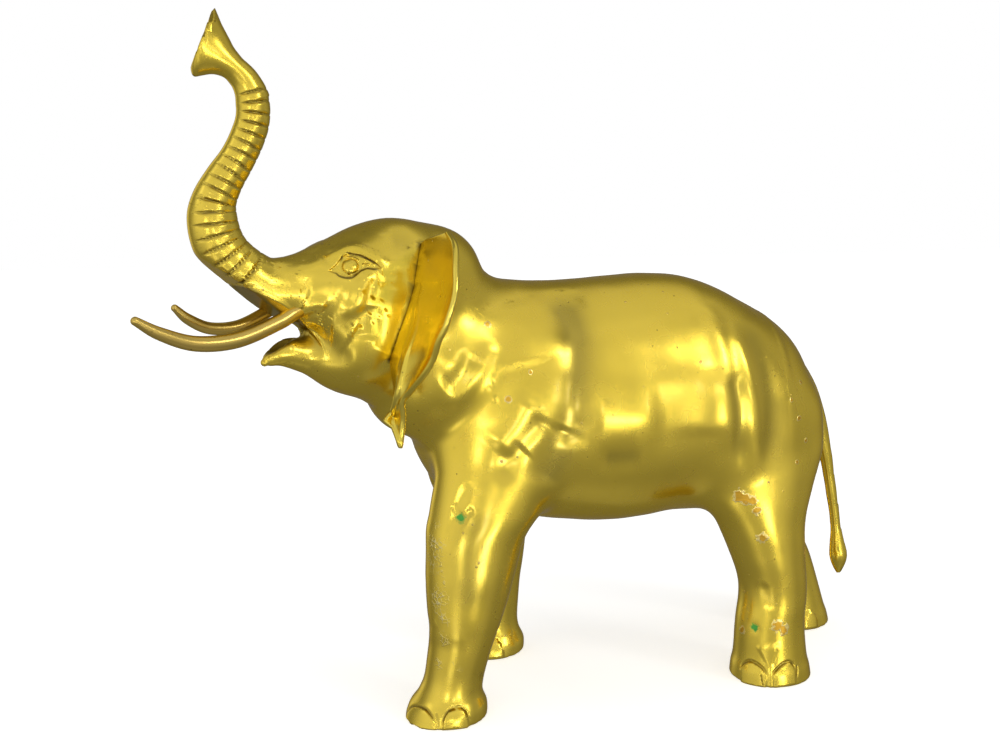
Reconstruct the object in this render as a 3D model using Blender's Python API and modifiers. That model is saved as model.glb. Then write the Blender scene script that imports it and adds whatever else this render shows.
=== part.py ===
"""Cast brass elephant, striding with its trunk raised and its head turned a little to its left.

Five castings: the body in one piece from trunk to tail, two ears brazed on, and two tusks set in sockets.
The forms are worked out in millimetres, with the elephant facing -X, its left side at -Y and the ground
at SOLE. The objects are in metres, standing on Z = 0 with the middle of the bounding box at X = Y = 0.
"""
import math

import bmesh
import bpy
import numpy as np

MM = 0.001
# The point of the working frame that becomes the origin, on the ground under the bounding box's middle.
ORIGIN = (53.8, -29.5, -1.5)
# The clearance where two castings meet, and the ears' thickness.
GAP = 0.3
EAR_THICK = 3.2
# The rough form's voxel, and the share of its triangles that the finished body keeps.
VOXEL = 2.2
BODY_TRIANGLES = 7400

# The head's turn to its left, and the height of the soles.
TURN = math.radians(22.0)
SOLE = -1.5

# The barrel of the body: x, top, bottom, half width.
BARREL = [
    (-45, 276, 214, 30), (-20, 294, 178, 48), (10, 307, 150, 63), (40, 309.5, 133, 71),
    (75, 310, 126, 75), (110, 312, 122.5, 77), (145, 313.5, 125, 76), (175, 310.5, 132, 74),
    (205, 299, 140, 70.5), (235, 274, 154, 58),
]
BARREL_POWER = 2.15

# Leg sections: height, half length, half width.
FORE_SECTION = [
    (-1.5, 30.3, 29), (8, 28.4, 27.6), (17, 23.6, 23.6), (28, 22, 22.3), (45, 23, 23),
    (62, 25, 24), (80, 29, 26), (104, 33, 28), (128, 36.5, 29), (150, 43, 30),
    (175, 47, 30), (205, 48, 29), (240, 40, 24), (262, 18, 12),
]
HIND_SECTION = [
    (-1.5, 32.3, 30), (8, 31, 29), (18, 28.8, 27.3), (40, 27.3, 25.8), (62, 26.5, 25),
    (80, 27, 26), (100, 30, 27), (125, 36, 29), (150, 46.5, 31), (180, 58, 32),
    (215, 61, 33), (245, 44, 28), (268, 20, 14),
]
# Leg centre lines: height, x, y.
NEAR_FORE = [
    (-1.5, -28, -56), (18, -24.5, -56), (28, -22, -56), (62, -14.5, -56), (80, -12, -55),
    (128, -4, -50), (150, 6, -47), (175, 15, -44), (205, 22, -38), (240, 26, -26), (262, 26, -18),
]
FAR_FORE = [
    (-1.5, 32, 55), (18, 34.5, 55), (62, 34, 55), (104, 30, 52), (150, 25, 47),
    (205, 23, 38), (240, 26, 26), (262, 26, 18),
]
NEAR_HIND = [
    (-1.5, 236, -52), (40, 234, -52), (62, 235.5, -52), (80, 234.5, -51), (100, 230, -50),
    (125, 225, -47), (150, 222, -43), (180, 221, -38), (215, 215, -32), (245, 203, -22), (268, 200, -14),
]
FAR_HIND = [
    (-1.5, 309, 47), (18, 306, 47), (40, 301, 48), (62, 294, 48), (80, 285, 48), (100, 273, 47),
    (125, 257, 45), (150, 242, 42), (180, 229, 38), (215, 215, 32), (245, 203, 22), (268, 200, 14),
]

# Rounded masses: centre, half axes, and the tip nose down in degrees. The head's are in its own frame.
RUMP = ((194, 0, 209), (89, 71, 84))
CHEST = ((20, 0, 222), (64, 66, 85))
SKULL = ((-62, 0, 306), (62, 48, 53), 0)
NAPE = ((-27, 0, 319), (32, 38, 33), 6)
CHEEKS = ((-86, 0, 277), (44, 43, 39), 25)
NECK = ((-26, 0, 261), (50, 55, 66), -34)
HEAD_MASSES = (SKULL, NAPE, CHEEKS, NECK)
TROUGH = ((-158, 0, 284), (18, 7.5, 12), 8)

# Round bars along a path: x, y, z, radius.
TRUNK = [
    (-66, -26, 306, 47), (-86, -35, 309, 42), (-108, -43.5, 312, 34), (-127, -51, 312.5, 25),
    (-147, -57, 314.3, 21.3), (-161, -61, 323.8, 18.8), (-172, -62, 335.7, 17), (-178.6, -62, 347.3, 16.8),
    (-181.4, -62, 362.8, 16), (-179.6, -62, 373.7, 14.3), (-173, -62, 386.4, 12.5),
    (-164.6, -62, 399.1, 11.5), (-157.8, -62, 411.8, 11.2), (-153.4, -62, 424.4, 10.8),
    (-153.1, -62, 437, 10.6), (-156.6, -62, 448.6, 8.7), (-160.5, -62, 453.3, 8.0),
]
JAW = [
    (-80, 0, 260, 30), (-105, 0, 262, 20), (-130, 0, 268, 13.5), (-147, 0, 271.5, 10.2),
    (-157.5, 0, 268.8, 6.2), (-163, 0, 266, 2.8),
]
TAIL = [
    (256, 0, 252, 9), (273, 0, 236, 8.5), (288, 0, 214, 7.8), (299, 0, 187, 6.6), (306.8, 0, 160, 5.3),
    (312, 0, 137, 4.6), (316.6, 0, 115, 4.3), (319.8, 0, 97, 4.4), (321.5, 0, 84, 6.2),
    (323.6, 0, 71, 7.4), (324.4, 0, 61, 4.5), (324.6, 0, 55.5, 1.5),
]

# The trunk's flared mouth, in sections that fan about one point: angle, inner, outer, half width.
FAN = (-205.6, -62, 420.9)
TRUMPET = [
    (17, 45, 66, 9.6), (24, 46.4, 65.4, 9.5), (34.5, 46.6, 63.8, 9.6), (41, 45.8, 63, 9.9),
    (48.5, 42.4, 64, 10.4), (54, 38.4, 66.9, 11), (60, 34.8, 71.2, 12), (64, 35.4, 75.6, 12.8),
    (67.5, 38.2, 80.2, 13.5),
]


# Trunk rings, counted back from the trunk's mouth: number, first place, pitch, its growth, depth, half width.
RINGS = 19
RING_START = 13.6
RING_PITCH = 6.4
RING_GROWTH = 0.085
RING_DEPTH = 0.9
RING_HALF = 1.5

# Eye, in the head's frame and mirrored to the far side: centre, ball radius, half length of the opening.
EYE = (-111, -29.5, 330)
EYE_BALL = 5.6
EYE_HALF = 19

# Toenails: bearing of each from the foot's front in degrees, half width, top and thickness.
FORE_NAILS = (-87, -36, 36, 87)
HIND_NAILS = (-94, -50, -6, 50, 94)
NAIL_HALF = 8.5
NAIL_TOP = 15
NAIL_THICK = 1.3

# Near ear, in the head's frame, from its top to its lobe's tip: the brazed seam and then the free front edge,
# the crease beside it, and the outer rim. The three have stations at the same heights.
EAR_SEAM = [
    (-59, -33, 342), (-64.5, -37, 334), (-73.5, -44, 314), (-81.5, -43, 291), (-86.5, -41.5, 276.5),
    (-89, -40.5, 268), (-93, -48, 259), (-95.5, -55, 248), (-98.5, -58, 240.5), (-105, -57.5, 230.5),
    (-106, -58.5, 227), (-101, -64, 219), (-98.5, -67, 211.5),
]
EAR_CREASE = [
    (-61.5, -44.5, 347), (-69, -56, 332), (-78, -62, 309), (-85.5, -66, 288), (-92.5, -68, 274.5),
    (-96.5, -69, 266), (-99.5, -69.5, 258.5), (-101.5, -69, 250), (-100.5, -65, 242), (-97, -56, 231.5),
    (-99, -59, 226), (-99.5, -66, 218), (-98, -67.5, 211),
]
EAR_RIM = [
    (-68.5, -81, 354), (-77.5, -101.5, 345), (-87, -115, 320.5), (-93, -114, 299), (-96.5, -109, 287),
    (-97, -103.5, 275.5), (-98.5, -96, 264.5), (-100, -84.5, 253.5), (-100.5, -74.5, 245), (-98.5, -71, 233.5),
    (-97.5, -69.5, 225.5), (-97.5, -69, 216.5), (-97.5, -68, 211),
]
EAR_SPLIT = 0.3
EAR_CUP = 5.0
# The far ear lies folded back along the neck and is carried lower.
EAR_FOLD = 60.0
EAR_MIDDLE = 285
EAR_RISE = 0.78
EAR_DROP = 0.6

# Tusks, in the head's frame: x, y, z, radius. The first stations lie in the socket.
NEAR_TUSK = [
    (-140, -15.5, 303, 5), (-150, -17, 299.5, 5), (-161, -17.5, 294.5, 5.1), (-190, -18, 285.8, 5.3),
    (-218, -18, 285.8, 5), (-241, -18, 294, 4.2), (-256, -18, 303, 2.8),
]
FAR_TUSK = [
    (-137, 13.5, 305, 4.2), (-146, 15, 301.5, 4.2), (-155, 15, 296.8, 4.3), (-175, 14, 289.8, 4.3),
    (-195, 13, 290.3, 4.1), (-210, 12, 297.5, 3.6), (-219, 11.5, 305.5, 2.4),
]
EAR_ROWS = 7
EAR_COLUMNS = 21
TUSK_RINGS = 14
TUSK_SIDES = 10

def curve(stations, count=240):
    """A smooth curve through the stations: cubic spans with each slope from the neighbours."""
    s = np.asarray(stations, float)
    ends = np.vstack([2 * s[:1] - s[1:2], s, 2 * s[-1:] - s[-2:-1]])
    t = np.linspace(0, len(s) - 1, count)
    i = np.minimum(t.astype(int), len(s) - 2)
    f = (t - i)[:, None]
    a, b, c, d = ends[i], ends[i + 1], ends[i + 2], ends[i + 3]
    return 0.5 * (2 * b + (c - a) * f + (2 * a - 5 * b + 4 * c - d) * f**2 + (3 * b - a - 3 * c + d) * f**3)


def follow(stations, at):
    """The stations' further columns where their first column has the value at."""
    c = curve(stations)
    at = np.clip(at, c[0, 0], c[-1, 0])
    return [np.interp(at, c[:, 0], c[:, k]) for k in range(1, c.shape[1])]


def blend(a, b, soft):
    """Union of two forms, with a fillet of about the given width where they meet."""
    h = np.clip(0.5 + 0.5 * (b - a) / soft, 0, 1)
    return b + (a - b) * h - soft * h * (1 - h)


def carve(a, b, soft):
    """The first form with the second taken out of it, its edge rounded."""
    return -blend(-a, b, soft)


def common(a, b, soft):
    """What two forms share, its edge rounded."""
    return -blend(-a, -b, soft)


def turned(p, angle):
    """Points turned about Z by minus the angle, as a frame turned by the angle sees them."""
    c, s = math.cos(angle), math.sin(angle)
    return np.stack([p[:, 0] * c + p[:, 1] * s, -p[:, 0] * s + p[:, 1] * c, p[:, 2]], 1)


def ellipsoid(p, centre, radii, pitch=0.0):
    """Signed distance, nearly, to an ellipsoid that is tipped nose down by pitch degrees."""
    q = p - np.asarray(centre, float)
    c, s = math.cos(math.radians(pitch)), math.sin(math.radians(pitch))
    q = np.stack([q[:, 0] * c + q[:, 2] * s, q[:, 1], -q[:, 0] * s + q[:, 2] * c], 1)
    r = np.asarray(radii, float)
    k0 = np.sqrt(((q / r) ** 2).sum(1)) + 1e-9
    k1 = np.sqrt(((q / r**2) ** 2).sum(1)) + 1e-12
    return k0 * (k0 - 1) / k1


def leg(p, section, line):
    """A leg: ovals stacked on height along its centre line, with a flat sole."""
    length, width = follow(section, p[:, 2])
    x, y = follow(line, p[:, 2])
    q = np.sqrt(((p[:, 0] - x) / length) ** 2 + ((p[:, 1] - y) / width) ** 2)
    side = common((q - 1) * np.minimum(length, width), SOLE - p[:, 2], 2.5)
    return np.maximum(side, p[:, 2] - section[-1][0])


def bar(p, stations, count=160):
    """A round bar along a path: its field, the place along it from 0 to 1, and the offset from its line."""
    c = curve(stations, count)
    path, radius = c[:, :3], c[:, 3]
    tangent = np.gradient(path, axis=0)
    step = np.linalg.norm(tangent, axis=1)
    tangent /= step[:, None]
    index = np.zeros(len(p), int)
    for start in range(0, len(p), 20000):
        part = slice(start, start + 20000)
        apart = (p[part]**2).sum(1)[:, None] - 2 * p[part] @ path.T + (path**2).sum(1)[None]
        index[part] = (np.sqrt(np.maximum(apart, 0)) - radius[None]).argmin(1)
    along = ((p - path[index]) * tangent[index]).sum(1)
    place = np.clip(index + along / step[index], 0, count - 1)
    low = np.minimum(place.astype(int), count - 2)
    w = (place - low)[:, None]
    offset = p - path[low] * (1 - w) - path[low + 1] * w
    r = radius[low] * (1 - w[:, 0]) + radius[low + 1] * w[:, 0]
    return np.linalg.norm(offset, axis=1) - r, place / (count - 1), offset


def barrel(p):
    """The barrel of the body: squared ovals stacked on x."""
    top, bottom, width = follow(BARREL, p[:, 0])
    middle = (top + bottom) / 2 - 4
    height = np.where(p[:, 2] > middle, top - middle, middle - bottom)
    q = np.abs(p[:, 1] / width) ** BARREL_POWER + np.abs((p[:, 2] - middle) / height) ** BARREL_POWER
    f = (q ** (1 / BARREL_POWER) - 1) * np.minimum(width, height)
    beyond = np.maximum(BARREL[0][0] - p[:, 0], p[:, 0] - BARREL[-1][0])
    return np.where(beyond > 0, np.hypot(np.maximum(f, 0), beyond) + np.minimum(f, 0), f)


def trumpet(p):
    """The flared end of the trunk: ovals fanned about one point, cut by a flat rim and dished."""
    q = p - np.array(FAN)
    reach = np.hypot(q[:, 0], q[:, 2]) + 1e-6
    angle = np.degrees(np.arctan2(q[:, 2], q[:, 0]))
    inner, outer, width = follow(TRUMPET, angle)
    middle, half = (inner + outer) / 2, (outer - inner) / 2
    f = (np.hypot((reach - middle) / half, q[:, 1] / width) - 1) * np.minimum(half, width)
    f = common(f, np.radians(angle - TRUMPET[-1][0]) * reach, 1.6)
    f = np.where((angle < -60) | (angle > 170), 60.0, f)
    f = np.maximum(f, np.radians(TRUMPET[0][0] - angle) * reach)
    rim = math.radians(TRUMPET[-1][0])
    along = q[:, 0] * math.cos(rim) + q[:, 2] * math.sin(rim)
    out = -q[:, 0] * math.sin(rim) + q[:, 2] * math.cos(rim)
    middle = (TRUMPET[-1][1] + TRUMPET[-1][2]) / 2
    dish = ellipsoid(np.stack([along, q[:, 1], out], 1), (middle - 3, 0, 1), (16, 9.6, 6))
    return f, dish


def gape(h):
    """The open mouth, in the head's frame: a wedge between the palate and the lower jaw."""
    palate = 0.642 * (h[:, 0] + 160) + 0.767 * (h[:, 2] - 302)
    jaw = 281.5 - 0.12 * (h[:, 0] + 140) - h[:, 2]
    wedge = common(palate, jaw, 4)
    throat = h[:, 0] + 143 - 9 * np.exp(-((h[:, 1] / 11) ** 2))
    return np.maximum(common(wedge, throat, 4), np.abs(h[:, 1]) - 40)


def head(p):
    """Skull, cheeks, neck, lower jaw and trunk, with the open mouth."""
    h = turned(p, TURN)
    skull, nape, cheeks, neck = (ellipsoid(h, *mass) for mass in HEAD_MASSES)
    f = blend(blend(skull, nape, 10), cheeks, 16)
    f = blend(f, bar(p, TRUNK)[0], 10)
    f = blend(f, neck, 14)
    f = blend(f, bar(h, JAW, 60)[0], 10)
    f = carve(f, gape(h), 2.5)
    return carve(f, ellipsoid(h, *TROUGH), 2)


def body(p):
    """The whole casting: barrel, rump, chest, legs, head, trunk and tail."""
    f = barrel(p)
    f = blend(f, ellipsoid(p, *RUMP), 12)
    f = blend(f, ellipsoid(p, *CHEST), 14)
    for section, line in ((FORE_SECTION, NEAR_FORE), (FORE_SECTION, FAR_FORE),
                          (HIND_SECTION, NEAR_HIND), (HIND_SECTION, FAR_HIND)):
        f = blend(f, leg(p, section, line), 14)
    f = blend(f, head(p), 13)
    flare, dish = trumpet(p)
    f = carve(blend(f, flare, 2), dish, 1.5)
    return blend(f, bar(p, TAIL)[0], 5)


def rings(p):
    """Depth of the grooves round the trunk: over its top and sides, fading out to a plain strip beneath."""
    field, place, offset = bar(p, TRUNK)
    line = curve(TRUNK, 160)[:, :3]
    steps = np.linalg.norm(np.diff(line, axis=0), axis=1)
    run = np.concatenate([[0], np.cumsum(steps)])
    back = run[-1] - np.interp(place, np.linspace(0, 1, len(run)), run)
    tangent = np.gradient(line, axis=0)
    tangent = tangent[np.minimum((place * 160).astype(int), 159)]
    under = np.cross(tangent, (0, 1, 0))
    under /= np.linalg.norm(under, axis=1)[:, None]
    turn = (offset * under).sum(1) / (np.linalg.norm(offset, axis=1) + 1e-6)
    fade = np.clip((0.86 - turn) / 0.5, 0, 1) * np.clip((turn + 1.15) / 0.6, 0.3, 1)
    depth = np.zeros(len(p))
    start = RING_START
    for count in range(RINGS):
        depth += np.exp(-(((back - start) / (RING_HALF * (0.55 + 0.45 * fade))) ** 2))
        start += RING_PITCH + RING_GROWTH * count
    return RING_DEPTH * depth * fade * (np.abs(field) < 12)


def eye(h):
    """Height of the eye over the face: a ball in an almond opening between two lids."""
    q = np.stack([h[:, 0], -np.abs(h[:, 1]), h[:, 2]], 1) - np.array(EYE)
    along = q[:, 0] + 0.12 * q[:, 2]
    up = q[:, 2] - 0.05 * q[:, 0]
    near = np.exp(-(((q ** 2).sum(1) / 30.0**2) ** 3))
    open_half = 6.2 * np.maximum(1 - (along / EYE_HALF) ** 2, 0)
    lid = np.exp(-(((np.abs(up) - open_half - 1.2) / 1.6) ** 2)) * (np.abs(along) < EYE_HALF)
    sunk = np.clip((open_half - np.abs(up)) / 2.0, 0, 1)
    ball = np.maximum(1 - (along**2 + up**2) / EYE_BALL**2, 0) ** 0.5
    return near * (1.2 * lid - 2.2 * sunk + 3.2 * ball)


def nails(p):
    """Height of the toenails over the feet: arched pads round the front of each foot."""
    height = np.zeros(len(p))
    for section, line, bearings in ((FORE_SECTION, NEAR_FORE, FORE_NAILS), (FORE_SECTION, FAR_FORE, FORE_NAILS),
                                    (HIND_SECTION, NEAR_HIND, HIND_NAILS), (HIND_SECTION, FAR_HIND, HIND_NAILS)):
        _, x, y = line[0]
        radius = section[0][1]
        away = np.hypot(p[:, 0] - x, p[:, 1] - y)
        bearing = np.degrees(np.arctan2(p[:, 1] - y, -(p[:, 0] - x)))
        for middle in bearings:
            across = np.radians((bearing - middle + 180) % 360 - 180) * radius
            pad = 1 - (across / NAIL_HALF) ** 2 - (np.maximum(p[:, 2] - 2, 0) / NAIL_TOP) ** 2
            height += NAIL_THICK * np.clip(pad / 0.35, 0, 1) * (away < radius + 12) * (p[:, 2] < 40)
    return height * np.clip((p[:, 2] - SOLE - 1) / 2, 0, 1)


def sculpture(p):
    """The casting with the carving that shows from a step away."""
    h = turned(p, TURN)
    return body(p) + rings(p) - eye(h) - nails(p)


def gradient(field, p, step=0.05):
    """The field at the points, and its slope by small steps along each axis."""
    value = field(p)
    slope = np.empty_like(p)
    for axis in range(3):
        moved = p.copy()
        moved[:, axis] += step
        slope[:, axis] = (field(moved) - value) / step
    return value, slope


def settle(field, p, rounds, reach=3.0):
    """Points carried onto the form, a step along its slope each round."""
    for _ in range(rounds):
        value, slope = gradient(field, p)
        move = -(value / ((slope**2).sum(1) + 1e-9))[:, None] * slope
        size = np.linalg.norm(move, axis=1) + 1e-9
        p = p + move * np.minimum(1, reach / size)[:, None]
    return p


def relax(p, edges):
    """Points moved half way to the mean of their neighbours, which evens out the mesh."""
    total = np.zeros_like(p)
    count = np.zeros(len(p))
    for one, other in ((0, 1), (1, 0)):
        np.add.at(total, edges[:, one], p[edges[:, other]])
        np.add.at(count, edges[:, one], 1)
    return (p + total / count[:, None]) / 2


def placed(p):
    """Working millimetres to metres in the object's own frame."""
    return (np.asarray(p, float) - np.array(ORIGIN)) * MM


def unplaced(p):
    """Metres in the object's own frame back to working millimetres."""
    return np.asarray(p, float) / MM + np.array(ORIGIN)


def from_head(h):
    """Points of the head's frame in the working frame."""
    return turned(np.asarray(h, float), -TURN)


def get_points(mesh):
    """A mesh's vertices in working millimetres."""
    flat = np.empty(len(mesh.vertices) * 3)
    mesh.vertices.foreach_get("co", flat)
    return unplaced(flat.reshape(-1, 3))


def set_points(mesh, p):
    """Working millimetres written to a mesh's vertices."""
    mesh.vertices.foreach_set("co", placed(p).ravel())
    mesh.update()


def loft(bm, sections):
    """Closed skin through rings of points, the same number in each, with flat ends."""
    rows = [[bm.verts.new(point) for point in placed(section)] for section in sections]
    count = len(rows[0])
    for low, high in zip(rows, rows[1:]):
        for i in range(count):
            j = (i + 1) % count
            bm.faces.new((low[i], low[j], high[j], high[i]))
    bm.faces.new(rows[0][::-1])
    bm.faces.new(rows[-1])


def oval(centre, first, second, count=24):
    """A ring of points about a centre, from its two half axes."""
    turn = np.linspace(0, 2 * np.pi, count, endpoint=False)[:, None]
    return np.asarray(centre) + np.cos(turn) * np.asarray(first) + np.sin(turn) * np.asarray(second)


def bar_rings(stations, count, sides=24, swell=0.0):
    """Rings square to a path, each of its station's radius plus the swell."""
    c = curve(stations, count)
    path, radius = c[:, :3], c[:, 3] + swell
    tangent = np.gradient(path, axis=0)
    tangent /= np.linalg.norm(tangent, axis=1)[:, None]
    side = np.cross(tangent, (0, 1, 0))
    side /= np.linalg.norm(side, axis=1)[:, None]
    third = np.cross(tangent, side)
    return [oval(path[i], radius[i] * side[i], radius[i] * third[i], sides) for i in range(count)]


def ball(bm, centre, radii, pitch=0.0, turn=0.0):
    """An ellipsoid from a sphere, tipped nose down by pitch and turned about Z."""
    before = set(bm.verts)
    bmesh.ops.create_uvsphere(bm, u_segments=32, v_segments=20, radius=1.0)
    fresh = [v for v in bm.verts if v not in before]
    p = np.array([v.co[:] for v in fresh]) * np.array(radii)
    c, s = math.cos(math.radians(pitch)), math.sin(math.radians(pitch))
    p = np.stack([p[:, 0] * c - p[:, 2] * s, p[:, 1], p[:, 0] * s + p[:, 2] * c], 1)
    p = turned(p + np.array(centre), -turn)
    for vertex, point in zip(fresh, placed(p)):
        vertex.co = point


def new_object(name, bm, collection):
    """The bmesh as a named object of the collection."""
    bmesh.ops.recalc_face_normals(bm, faces=bm.faces)
    mesh = bpy.data.meshes.new(name)
    bm.to_mesh(mesh)
    bm.free()
    thing = bpy.data.objects.new(name, mesh)
    collection.objects.link(thing)
    return thing


def bake(thing):
    """The object's modifiers made final."""
    graph = bpy.context.evaluated_depsgraph_get()
    mesh = bpy.data.meshes.new_from_object(thing.evaluated_get(graph))
    old = thing.data
    thing.modifiers.clear()
    thing.data = mesh
    bpy.data.meshes.remove(old)


def cut(thing, cutter, own=False):
    """A Boolean difference left on the object."""
    modifier = thing.modifiers.new(cutter.name, "BOOLEAN")
    modifier.operation = "DIFFERENCE"
    modifier.object = cutter
    modifier.use_self = own
    cutter.display_type = "WIRE"
    cutter.hide_render = True


def brass(name, colour, rough):
    """Polished brass of the given colour."""
    material = bpy.data.materials.new(name)
    material.use_nodes = True
    shader = material.node_tree.nodes["Principled BSDF"]
    shader.inputs["Base Color"].default_value = (*colour, 1)
    shader.inputs["Metallic"].default_value = 1.0
    shader.inputs["Roughness"].default_value = rough
    return material


def rough_body(collection):
    """The body roughed out in overlapping masses: the same stations, before any fillet."""
    bm = bmesh.new()
    slices = []
    for x, top, bottom, width in curve(BARREL, 14):
        slices.append(oval((x, 0, (top + bottom) / 2), (0, width, 0), (0, 0, (top - bottom) / 2)))
    loft(bm, slices)
    for section, line in ((FORE_SECTION, NEAR_FORE), (FORE_SECTION, FAR_FORE),
                          (HIND_SECTION, NEAR_HIND), (HIND_SECTION, FAR_HIND)):
        slices = []
        for z in np.linspace(section[0][0], section[-1][0], 30):
            length, width = follow(section, z)
            x, y = follow(line, z)
            slices.append(oval((x, y, z), (length, 0, 0), (0, width, 0)))
        loft(bm, slices)
    ball(bm, *RUMP)
    ball(bm, *CHEST)
    for mass in HEAD_MASSES:
        ball(bm, *mass, turn=TURN)
    loft(bm, bar_rings(TRUNK, 60))
    loft(bm, [from_head(ring) for ring in bar_rings(JAW, 16)])
    loft(bm, bar_rings(TAIL, 40, sides=14))
    slices = []
    for angle, inner, outer, width in curve(TRUMPET, 16):
        ray = np.array([math.cos(math.radians(angle)), 0, math.sin(math.radians(angle))])
        centre = np.array(FAN) + ray * (inner + outer) / 2
        slices.append(oval(centre, ray * (outer - inner) / 2, (0, width, 0)))
    loft(bm, slices)
    return new_object("body", bm, collection)


def gape_cutter(collection):
    """The wedge of the open mouth, for the rough form."""
    bm = bmesh.new()
    side = [(-215, 0, 352), (-150, 0, 292), (-143, 0, 284), (-150, 0, 283), (-215, 0, 291)]
    slices = [from_head([(x, y, z) for x, _, z in side]) for y in (-44, 44)]
    loft(bm, slices)
    return new_object("gape", bm, collection)


def make_body(parts, cutters):
    """The body casting: rough masses fused, settled on the smooth form with its carving, then thinned."""
    thing = rough_body(parts)
    cut(thing, gape_cutter(cutters), own=True)
    fuse = thing.modifiers.new("fuse", "REMESH")
    fuse.mode = "VOXEL"
    fuse.voxel_size = VOXEL * MM
    bake(thing)
    mesh = thing.data
    edges = np.empty(len(mesh.edges) * 2, int)
    mesh.edges.foreach_get("vertices", edges)
    edges = edges.reshape(-1, 2)
    p = settle(body, get_points(mesh), 2)
    for _ in range(3):
        p = settle(body, relax(p, edges), 1)
    set_points(mesh, settle(sculpture, p, 3, reach=1.0))
    thin = thing.modifiers.new("thin", "DECIMATE")
    thin.ratio = BODY_TRIANGLES / (2 * len(mesh.polygons))
    bake(thing)
    return thing


def socket(name, stations, cutters):
    """The hole that a tusk stands in, with the clearance all round."""
    bm = bmesh.new()
    rows = bar_rings(stations, TUSK_RINGS, TUSK_SIDES, swell=1.1 * GAP)
    way = rows[0].mean(0) - rows[1].mean(0)
    rows[0] = rows[0] + 1.1 * GAP * way / np.linalg.norm(way)
    loft(bm, [from_head(ring) for ring in rows])
    return new_object(name + "_socket", bm, cutters)


def make_tusk(name, stations, parts):
    """A tapering curved tusk with a rounded tip."""
    bm = bmesh.new()
    rows = bar_rings(stations, TUSK_RINGS, TUSK_SIDES)
    tip = rows[-1].mean(0)
    way = tip - rows[-2].mean(0)
    way /= np.linalg.norm(way)
    radius = stations[-1][3]
    for turn in (30, 60):
        a = math.radians(turn)
        rows.append(tip + way * radius * math.sin(a) + (rows[TUSK_RINGS - 1] - tip) * math.cos(a))
    loft(bm, [from_head(ring) for ring in rows])
    return new_object(name, bm, parts)


def ear_sheet(lines, rows, columns):
    """The ear's middle surface, from its seam over its crease to its rim, cupped forward."""
    a, b, c = (curve(line, columns)[None] for line in lines)
    s = np.linspace(0, 1, rows)[:, None, None]
    t = np.linspace(0, 1, columns)[None, :, None]
    first = np.clip(s / EAR_SPLIT, 0, 1)
    second = np.clip((s - EAR_SPLIT) / (1 - EAR_SPLIT), 0, 1)
    sheet = a + (b - a) * first + (c - b) * second
    sheet[..., :1] += EAR_CUP * np.sin(np.pi * second) * np.sin(np.pi * np.clip(t * 1.45, 0, 1))
    return sheet


def folded(points):
    """Near ear points mirrored to the far side, folded back, and drawn in towards the middle height."""
    out = []
    c, s = math.cos(math.radians(EAR_FOLD)), math.sin(math.radians(EAR_FOLD))
    root = 46
    for x, y, z in points:
        away = max(-y - root, 0)
        rise = EAR_RISE if z > EAR_MIDDLE else EAR_DROP
        out.append((x + s * away, min(-y, root) + c * away, EAR_MIDDLE + rise * (z - EAR_MIDDLE)))
    return out


def make_ear(name, lines, parts, body_object):
    """An ear as a bent plate, cut where it meets the head."""
    sheet = ear_sheet(lines, EAR_ROWS, EAR_COLUMNS)
    bm = bmesh.new()
    grid = [[bm.verts.new(point) for point in placed(from_head(row))] for row in sheet]
    for low, high in zip(grid, grid[1:]):
        for i in range(len(low) - 1):
            bm.faces.new((low[i], low[i + 1], high[i + 1], high[i]))
    thing = new_object(name, bm, parts)
    plate = thing.modifiers.new("plate", "SOLIDIFY")
    plate.thickness = EAR_THICK * MM
    plate.offset = 0
    bake(thing)
    cut(thing, body_object)
    return thing


def swollen(thing, name, cutters):
    """A copy of the object grown by the clearance, to cut what stands against it."""
    copy = bpy.data.objects.new(name, thing.data.copy())
    cutters.objects.link(copy)
    count = len(copy.data.vertices)
    normals = np.empty(count * 3)
    copy.data.vertices.foreach_get("normal", normals)
    set_points(copy.data, get_points(copy.data) + GAP * 1.15 * normals.reshape(-1, 3))
    return copy


def main():
    for thing in list(bpy.data.objects):
        bpy.data.objects.remove(thing, do_unlink=True)
    parts = bpy.data.collections.new("elephant")
    cutters = bpy.data.collections.new("cutters")
    for collection in (parts, cutters):
        bpy.context.scene.collection.children.link(collection)
    casting = make_body(parts, cutters)
    grown = swollen(casting, "body_clearance", cutters)
    for name, stations in (("tusk_left", NEAR_TUSK), ("tusk_right", FAR_TUSK)):
        cut(casting, socket(name, stations, cutters))
        tusk = make_tusk(name, stations, parts)
        tusk.data.materials.append(brass(name, (0.60, 0.42, 0.17), 0.32))
    near = (EAR_SEAM, EAR_CREASE, EAR_RIM)
    for name, lines in (("ear_left", near), ("ear_right", [folded(line) for line in near])):
        ear = make_ear(name, lines, parts, grown)
        ear.data.materials.append(brass(name, (0.78, 0.55, 0.20), 0.30))
    casting.data.materials.append(brass("body", (0.76, 0.60, 0.27), 0.28))
    for thing in parts.objects:
        thing.data.shade_smooth()
        thing.data.set_sharp_from_angle(angle=math.radians(50))


main()
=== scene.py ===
"""The looks of the cast brass elephant: its polished surface, carving, brazed ears, tusks and corrosion.

The forms are worked out in millimetres, with the elephant facing -X, its left side at -Y and the ground
at SOLE. Each piece is then placed in metres in the frame, whose origin is at ORIGIN here.
"""
import math

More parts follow.
